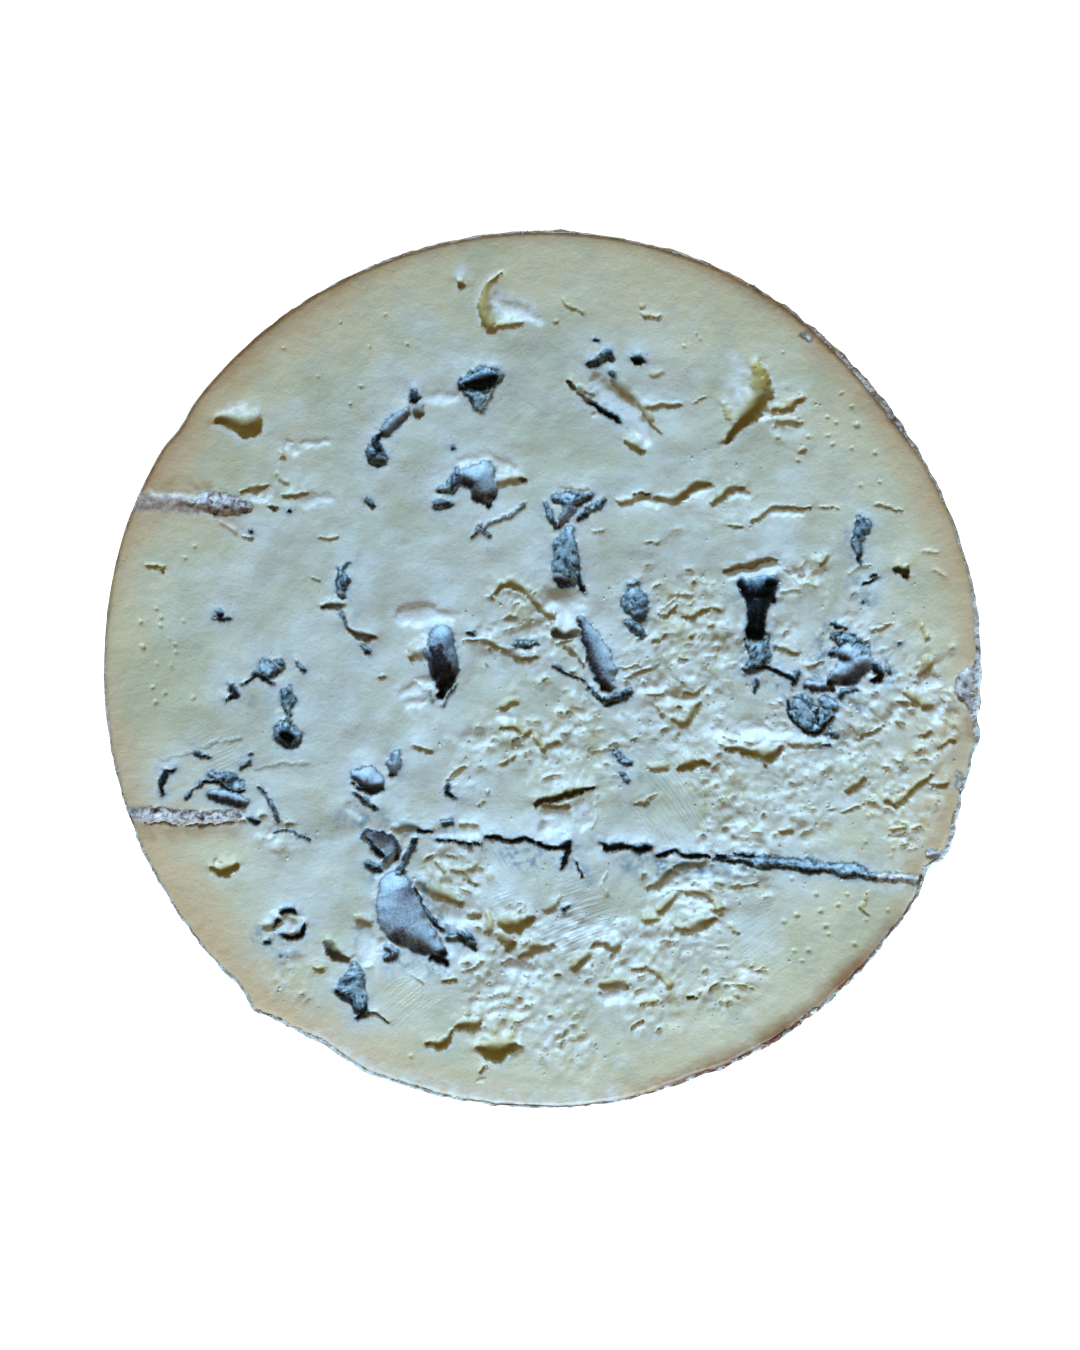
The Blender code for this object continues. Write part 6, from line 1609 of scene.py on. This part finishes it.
def split_edges(points: Array, faces: Array, chosen: Array, edges: Array, edge_of: Array
                ) -> tuple[Array, Array]:
    """Halves the chosen edges and rebuilds the triangles on them.

    Args:
        points: places of the points.
        faces: triangles.
        chosen: which edges are halved.
        edges: the two ends of each edge.
        edge_of: the three edges of each triangle.

    Returns:
        The new points and triangles.
    """
    def turned(values: Array, turn: Array, count: int) -> list[Array]:
        """The columns of three values for each triangle, read from the column that turn gives."""
        return [np.take_along_axis(values, ((turn + n) % 3)[:, None], 1)[:, 0] for n in range(count)]

    middle = np.full(len(edges), -1)
    middle[chosen] = len(points) + np.arange(chosen.sum())
    points = np.concatenate([points, points[edges[chosen]].mean(1)])
    halved = middle[edge_of]
    none, one, two, three = ((halved >= 0).sum(1) == count for count in range(4))
    a, b, c = turned(faces[one], np.argmax(halved[one] >= 0, 1), 3)
    ab = halved[one].max(1)
    made = [faces[none], np.stack([a, ab, c], 1), np.stack([ab, b, c], 1)]
    turn = (np.argmin(halved[two] >= 0, 1) + 1) % 3
    (a, b, c), (ab, bc) = turned(faces[two], turn, 3), turned(halved[two], turn, 2)
    made += [np.stack([ab, b, bc], 1), np.stack([a, ab, bc], 1), np.stack([a, bc, c], 1)]
    (a, b, c), (ab, bc, ca) = faces[three].T, halved[three].T
    made += [np.stack(ends, 1) for ends in ((a, ab, ca), (ab, b, bc), (ca, bc, c), (ab, bc, ca))]
    return points, np.concatenate(made)


@dataclass
class PasteBody:
    """The paste of the half cheese, closed all round, with its cut face up.

    Args:
        face: the map of the cut face.
        top: height of the cut face.
        rings: rings of triangles on the cut face.
        bands: for each round of halving, how far from an edge it reaches and how torn the curd has to be.
        plain_rim: width beside the rim that is never halved.
        side_rows: rows down the side.
        inside_rind: how far the side stays behind the rind.
        lift: height of the foot, inside the rind.
    """

    face: CutFaceMap
    top: float = FACE_HEIGHT
    rings: int = 90
    bands: tuple[tuple[float, float], ...] = ((0.95, 0.46), (0.2, 1.2))
    plain_rim: float = 1.9
    side_rows: int = 12
    inside_rind: float = 2.2
    lift: float = 2.0

    def plan(self) -> tuple[Array, Array]:
        """The flat layout of the cut face, finer beside each edge that shows."""
        out, angle, faces = even_disc(self.rings)
        under_crust = 0.85 * self.face.rim_trait(angle, "crust")
        points = on_circle(out * (self.face.rim_radius(angle) - under_crust), angle)
        for band, torn_from in self.bands:
            sides = np.sort(np.concatenate([faces[:, [0, 1]], faces[:, [1, 2]], faces[:, [2, 0]]]), 1)
            edges, which = np.unique(sides, axis=0, return_inverse=True)
            x, y = points[edges].mean(1).T
            fine = (np.abs(self.face.lip_distance(x, y)) < band) | (self.face.torn(x, y) > torn_from)
            chosen = fine & (self.face.rim_gap(x, y) > self.plain_rim)
            points, faces = split_edges(points, faces, chosen, edges, which.reshape(3, -1).T)
        return points, faces

    def snap(self, points: Array, faces: Array) -> Array:
        """Moves the points beside an edge of an opening onto it, so that the edge is crisp."""
        sides = np.concatenate([faces[:, [0, 1]], faces[:, [1, 2]], faces[:, [2, 0]]])
        length = np.linalg.norm(points[sides[:, 0]] - points[sides[:, 1]], axis=1)
        shortest = np.full(len(points), FAR)
        np.minimum.at(shortest, sides[:, 0], length)
        np.minimum.at(shortest, sides[:, 1], length)
        x, y = points.T
        away, nudge = self.face.lip_distance(x, y), 0.02
        slope_x = (self.face.lip_distance(x + nudge, y) - away) / nudge
        slope_y = (self.face.lip_distance(x, y + nudge) - away) / nudge
        steep = slope_x**2 + slope_y**2
        move = (np.abs(away) < 0.4 * shortest) & (steep > 0.3) & (steep < 4.0)
        move &= self.face.rim_gap(x, y) > self.plain_rim
        shift = np.where(move, away / np.maximum(steep, 0.3), 0.0)
        return np.stack([x - shift * slope_x, y - shift * slope_y], 1)

    def build(self) -> bpy.types.Object:
        """Makes the closed body, with the covers of the cut face as attributes."""
        flat, faces = self.plan()
        flat = self.snap(flat, faces)
        found = self.face.survey(flat[:, 0], flat[:, 1])
        levels = [np.column_stack([flat, self.top + found.pop("height")])]
        around = 6 * self.rings
        angle = np.arange(around) * 2 * math.pi / around
        rows = [1 + 3 * self.rings * (self.rings - 1) + np.arange(around)]
        for n in range(1, self.side_rows + 1):
            share = n / self.side_rows
            z = (self.top - self.lift) * (1 - share) + self.lift * share
            curve = max(0.0, 1 - z / FOOT_ROUNDING)
            inset = FOOT_ROUNDING * (1 - math.sqrt(max(0.0, 1 - curve**2)))
            radius = FACE_RADIUS - self.inside_rind - inset
            levels.append(np.column_stack([on_circle(radius, angle), np.full(around, z)]))
            rows.append(len(flat) + (n - 1) * around + np.arange(around))
        points = np.concatenate(levels + [np.array([[*FACE_CENTRE, self.lift]])])
        sides = [wall(upper, lower) for upper, lower in zip(rows, rows[1:])]
        hidden = np.zeros(len(points) - len(flat))
        covers = {name: np.concatenate([values, hidden]) for name, values in found.items()}
        faces = np.concatenate([faces, *sides, cap(rows[-1], len(points) - 1)])
        piece = mesh_object("cut_paste", points, faces, covers)
        piece.data.materials.append(PasteFinish().make())
        return piece


@dataclass
class RindShell:
    """The rind: a thin dry shell round the side and the end, crumbly along the cut.

    Args:
        face: the map of the cut face, whose rim it follows.
        top: height of the cut face.
        segments: points round the cheese.
        thickness: how thick it is.
        lining: height of its inner face at the foot.
        skin: how far its outside stays within the rim.
    """

    face: CutFaceMap
    top: float = FACE_HEIGHT
    segments: int = 880
    thickness: float = 1.7
    lining: float = 2.6
    skin: float = 0.1

    def profile(self) -> list[tuple[float, float, float, float]]:
        """Rows from inside, over the cut to the foot, as (share of the crust, inset, height, roughness)."""
        rows = [(0.0, self.thickness + 0.6, self.lining, 0.0),
                (0.0, self.thickness + 0.3, self.top * 0.5, 0.0), (1.0, 1.0, self.top - 3.0, 0.0),
                (1.0, 0.15, self.top - 0.34, 0.3), (0.7, 0.0, self.top - 0.14, 1.0),
                (0.4, 0.0, self.top - 0.10, 1.0), (0.15, 0.0, self.top - 0.28, 1.0),
                (0.0, 0.0, self.top - 0.75, 1.0)]
        height, gap = self.top - 0.75, 0.5
        while height - gap > FOOT_ROUNDING:
            height -= gap
            gap = min(gap * 1.12, 1.15)
            rows.append((0.0, self.skin, height, 1.0))
        for turn in np.linspace(0.0, math.pi / 2, 12):
            rows.append((0.0, self.skin + FOOT_ROUNDING * (1 - math.cos(turn)),
                         FOOT_ROUNDING * (1 - math.sin(turn)), 1.0 - turn / (math.pi / 2)))
        return rows + [(0.0, inset, 0.0, 0.0) for inset in (14.0, 22.0, 34.0, 48.0)]

    def build(self) -> bpy.types.Object:
        """Makes the closed shell."""
        angle = np.arange(self.segments) * 2 * math.pi / self.segments
        rim = self.face.rim_radius(angle)
        keep = FACE_RADIUS + 0.4 * (rim - FACE_RADIUS)
        wide, bloom, rust = (self.face.rim_trait(angle, name) for name in ("crust", "bloom", "rust"))
        levels, covers = [], {"bloom": [], "rust": []}
        for share, inset, height, rough in self.profile():
            depth = np.clip((self.top - height) / 6.0, 0.0, 1.0)
            base = rim * (1 - depth) + keep * depth - share * wide - inset
            near_cut = np.exp(-((self.top - height) / 1.6) ** 2)
            lumps = sum(strength * self.wrap_noise(angle, height, size, seed)
                        for strength, size, seed in RIND_LUMPS)
            crumbs = 0.30 * self.wrap_noise(angle, height * 3 + 5 * share, 1.1, 85) * (0.12 + 0.88 * bloom)
            radius = base - 0.12 + rough * (lumps * (1 - 0.8 * near_cut) + crumbs * near_cut)
            lift = rough * near_cut * (0.1 + bloom) * (0.14 * self.wrap_noise(angle, 7 * share, 1.4, 86)
                                                       + 0.12 * self.wrap_noise(angle, 9 * share, 0.6, 87))
            levels.append(np.column_stack([on_circle(radius, angle), height + lift]))
            covers["bloom"].append(bloom * (0.25 + 0.75 * near_cut))
            covers["rust"].append(rust * np.exp(-((self.top - height) / 5.0) ** 2))
        points = np.concatenate(levels + [np.array([[*FACE_CENTRE, 0.0], [*FACE_CENTRE, self.lining]])])
        rows = [n * self.segments + np.arange(self.segments) for n in range(len(levels))]
        foot, lid = len(points) - 2, len(points) - 1
        faces = [wall(upper, lower) for upper, lower in zip(rows, rows[1:])]
        faces.append(cap(rows[-1], foot))
        faces.append(np.stack([rows[0], np.roll(rows[0], -1), np.full(self.segments, lid)], 1))
        values = {name: np.concatenate(found + [np.zeros(2)]) for name, found in covers.items()}
        piece = mesh_object("rind", points, np.concatenate(faces), values)
        piece.data.materials.append(RindFinish().make())
        return piece

    def wrap_noise(self, angle: Array, height: float, size: float, seed: int) -> Array:
        """Noise that closes on itself round the cheese.

        Args:
            angle: places round the side.
            height: how high they are.
            size: size of one lump.
            seed: which noise.

        Returns:
            The noise at each place.
        """
        cells = max(round(2 * math.pi * FACE_RADIUS / size), 8)
        u, v = angle / (2 * math.pi) * cells, height / size
        i, j = np.floor(u).astype(np.int64), math.floor(v)
        u, v = u - i, v - j
        u, v = u * u * (3 - 2 * u), v * v * (3 - 2 * v)
        low, high = (cell_hash(i % cells, np.full(i.shape, row), seed) * (1 - u)
                     + cell_hash((i + 1) % cells, np.full(i.shape, row), seed) * u for row in (j, j + 1))
        return 2 * (low * (1 - v) + high * v) - 1


@dataclass
class GrainScatter:
    """Loose grains spread over a piece by Geometry Nodes.

    Args:
        name: the name of the piece it makes.
        share: the attribute that says where they lie.
        per_cm2: most grains in a square centimetre.
        size: size of a grain, least and most.
        squash: how flat a grain is.
        seed: which spread.
        tilt: how far a grain leans, in radians.
    """

    name: str
    share: str
    per_cm2: float
    size: tuple[float, float]
    squash: float
    seed: int
    tilt: float = 0.7

    def values(self) -> dict[str, float]:
        """The tree's named inputs, in metres."""
        return {"Per Square Metre": self.per_cm2 * 1e4, "Smallest": self.size[0] * MM,
                "Largest": self.size[1] * MM, "Squash": self.squash}

    def tree(self, material: bpy.types.Material) -> bpy.types.NodeTree:
        """Builds the node tree.

        Args:
            material: the finish of the grains.

        Returns:
            The tree, with its sizes as named inputs.
        """
        tree = bpy.data.node_groups.new(self.name, "GeometryNodeTree")
        tree.interface.new_socket("Geometry", in_out="INPUT", socket_type="NodeSocketGeometry")
        for label in self.values():
            tree.interface.new_socket(label, in_out="INPUT", socket_type="NodeSocketFloat")
        tree.interface.new_socket("Geometry", in_out="OUTPUT", socket_type="NodeSocketGeometry")
        given = add_node(tree, "NodeGroupInput").outputs
        where = add_node(tree, "GeometryNodeInputNamedAttribute", None, {"Name": self.share})
        thick = add_node(tree, "ShaderNodeMath", {"operation": "MULTIPLY"}, {
            0: where.outputs["Attribute"], 1: given["Per Square Metre"]})
        spread = add_node(tree, "GeometryNodeDistributePointsOnFaces", None, {
            "Mesh": given["Geometry"], "Density": thick.outputs[0], "Seed": self.seed})
        grain = add_node(tree, "GeometryNodeMeshIcoSphere", None, {"Radius": 0.5, "Subdivisions": 1})
        size = add_node(tree, "FunctionNodeRandomValue", {"data_type": "FLOAT"}, {
            2: given["Smallest"], 3: given["Largest"], "Seed": self.seed + 1}).outputs[1]
        flat = add_node(tree, "ShaderNodeMath", {"operation": "MULTIPLY"}, {0: size, 1: given["Squash"]})
        shape = add_node(tree, "ShaderNodeCombineXYZ", None, {0: size, 1: size, 2: flat.outputs[0]})
        turn = add_node(tree, "FunctionNodeRandomValue", {"data_type": "FLOAT_VECTOR"}, {
            0: (-self.tilt, -self.tilt, 0.0), 1: (self.tilt, self.tilt, 2 * math.pi),
            "Seed": self.seed + 2})
        placed = add_node(tree, "GeometryNodeInstanceOnPoints", None, {
            "Points": spread.outputs["Points"], "Instance": grain.outputs["Mesh"],
            "Rotation": turn.outputs[0], "Scale": shape.outputs[0]})
        solid = add_node(tree, "GeometryNodeRealizeInstances", None, {
            "Geometry": placed.outputs["Instances"]})
        dressed = add_node(tree, "GeometryNodeSetMaterial", None, {
            "Geometry": solid.outputs["Geometry"], "Material": material})
        add_node(tree, "NodeGroupOutput", None, {"Geometry": dressed.outputs["Geometry"]})
        return tree

    def build(self, carrier: bpy.types.Object, material: bpy.types.Material) -> bpy.types.Object:
        """Spreads the grains over a piece.

        Args:
            carrier: the piece they lie on.
            material: their finish.

        Returns:
            The grains as one plain mesh object.
        """
        holder = in_scene(bpy.data.objects.new(self.name + "_holder", carrier.data.copy()))
        modifier = holder.modifiers.new("spread", "NODES")
        modifier.node_group = self.tree(material)
        values = self.values()
        for item in modifier.node_group.interface.items_tree:
            if item.in_out == "INPUT" and item.name in values:
                modifier[item.identifier] = values[item.name]
        graph = bpy.context.evaluated_depsgraph_get()
        mesh = bpy.data.meshes.new_from_object(holder.evaluated_get(graph))
        bpy.data.objects.remove(holder)
        mesh.name = self.name
        return in_scene(bpy.data.objects.new(self.name, mesh))


@dataclass
class HalfCheese:
    """The whole dressed cheese."""

    curd: PlainGrainFinish = PlainGrainFinish("dry_curd_crumbs", "#D8D6C4", "#F0F2EC")
    spores: PlainGrainFinish = PlainGrainFinish("blue_mould_tufts", "#4A5A60", "#C4CFCE", 0.95, 0.6)
    bloom: PlainGrainFinish = PlainGrainFinish("white_rind_bloom", "#CFC8BE", "#F2F2F0", 0.95, 0.7)

    def build(self) -> list[bpy.types.Object]:
        """Makes every piece of the cheese."""
        face = CutFaceMap()
        paste, rind = PasteBody(face).build(), RindShell(face).build()
        crumbs = GrainScatter("curd_crumbs", "crumb", 22.0, (0.18, 0.6), 0.6, 5)
        tufts = GrainScatter("mould_tufts", "grey", 45.0, (0.08, 0.20), 0.8, 9)
        dust = GrainScatter("rind_bloom", "bloom", 62.0, (0.14, 0.42), 0.8, 13)
        return [paste, rind, crumbs.build(paste, self.curd.make()), tufts.build(paste, self.spores.make()),
                dust.build(rind, self.bloom.make())]


@dataclass
class Studio:
    """A white floor, cool window light from the foot of the picture and a camera straight above.

    Args:
        picture: width and height of the picture in pixels.
        cheese_pixel: the pixel that shows the middle of the cut face.
        mm_per_pixel: size of a pixel on the cut face.
        distance: from the cut face to the camera, in metres.
        sensor: height of the camera's sensor, in millimetres.
        window_place: where the window stands, in metres.
        window_side: its side, in metres.
        window_watts: its power.
        window_colour: its linear colour.
        room_colour: linear colour of the warm room.
        room_strength: how bright the room is.
        floor_half: half the side of the floor.
    """

    picture: tuple[int, int] = (1080, 1350)
    cheese_pixel: tuple[float, float] = (545.0, 670.0)
    mm_per_pixel: float = 0.148
    distance: float = 0.62
    sensor: float = 36.0
    window_place: tuple[float, float, float] = (0.20, -0.80, 0.66)
    window_side: float = 0.5
    window_watts: float = 15.0
    window_colour: tuple[float, float, float] = (0.43, 0.675, 0.95)
    room_colour: tuple[float, float, float, float] = (0.95, 0.82, 0.52, 1.0)
    room_strength: float = 0.20
    floor_half: float = 1500.0

    def floor(self) -> None:
        """Lays a wide white sheet under the cheese."""
        points = np.array([[x, y, 0.0] for x, y in ((-1, -1), (1, -1), (1, 1), (-1, 1))]) * self.floor_half
        sheet = mesh_object("floor", points, np.array([[0, 1, 2], [0, 2, 3]]), {})
        mix = Recipe("white_paper_sweep")
        mix.shader.inputs["Emission Color"].default_value = linear("#FFFFFF")
        mix.shader.inputs["Emission Strength"].default_value = 1.0
        sheet.data.materials.append(mix.finish("#FAFAFA", 0.9))

    def light(self) -> None:
        """Sets a square window light, aimed at the cut face, and a warm room all round."""
        data = bpy.data.lights.new("window", "AREA")
        data.size, data.energy, data.color = self.window_side, self.window_watts, self.window_colour
        lamp = in_scene(bpy.data.objects.new("window", data))
        place = Vector(self.window_place)
        lamp.location = place
        towards_face = Vector((0.0, 0.0, FACE_HEIGHT * MM)) - place
        lamp.rotation_euler = towards_face.to_track_quat("-Z", "Y").to_euler()
        world = bpy.data.worlds.new("warm_room")
        world.use_nodes = True
        back = next(n for n in world.node_tree.nodes if n.type == "BACKGROUND")
        back.inputs["Color"].default_value = self.room_colour
        back.inputs["Strength"].default_value = self.room_strength
        bpy.context.scene.world = world

    def camera(self) -> None:
        """Sets a camera straight above, so that the cheese has its place and size in the picture."""
        wide, tall = self.picture
        pixel = self.mm_per_pixel * MM
        data = bpy.data.cameras.new("camera")
        data.sensor_fit = "VERTICAL"
        data.sensor_height = self.sensor
        data.lens = self.sensor * self.distance / (tall * pixel)
        data.clip_start, data.clip_end = 0.05, 20.0
        camera = in_scene(bpy.data.objects.new("camera", data))
        across, down = self.cheese_pixel
        camera.location = ((wide / 2 - across) * pixel, (down - tall / 2) * pixel,
                           FACE_HEIGHT * MM + self.distance)
        bpy.context.scene.camera = camera

    def build(self) -> None:
        """Sets up the studio."""
        bpy.context.scene.view_settings.view_transform = "Standard"
        self.floor()
        self.light()
        self.camera()


def main() -> None:
    """Builds the cheese and the studio."""
    logging.basicConfig(level=logging.INFO, format="%(name)s: %(message)s")
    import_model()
    low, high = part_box("fourme")
    LOG.info("the solid is %.4f m tall", high[2] - low[2])
    for piece in HalfCheese().build():
        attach(piece, "root")
        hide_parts("fourme")
        LOG.info("%s: %d triangles", piece.name, len(piece.data.polygons))
    Studio().build()


if __name__ == "__main__":
    main()
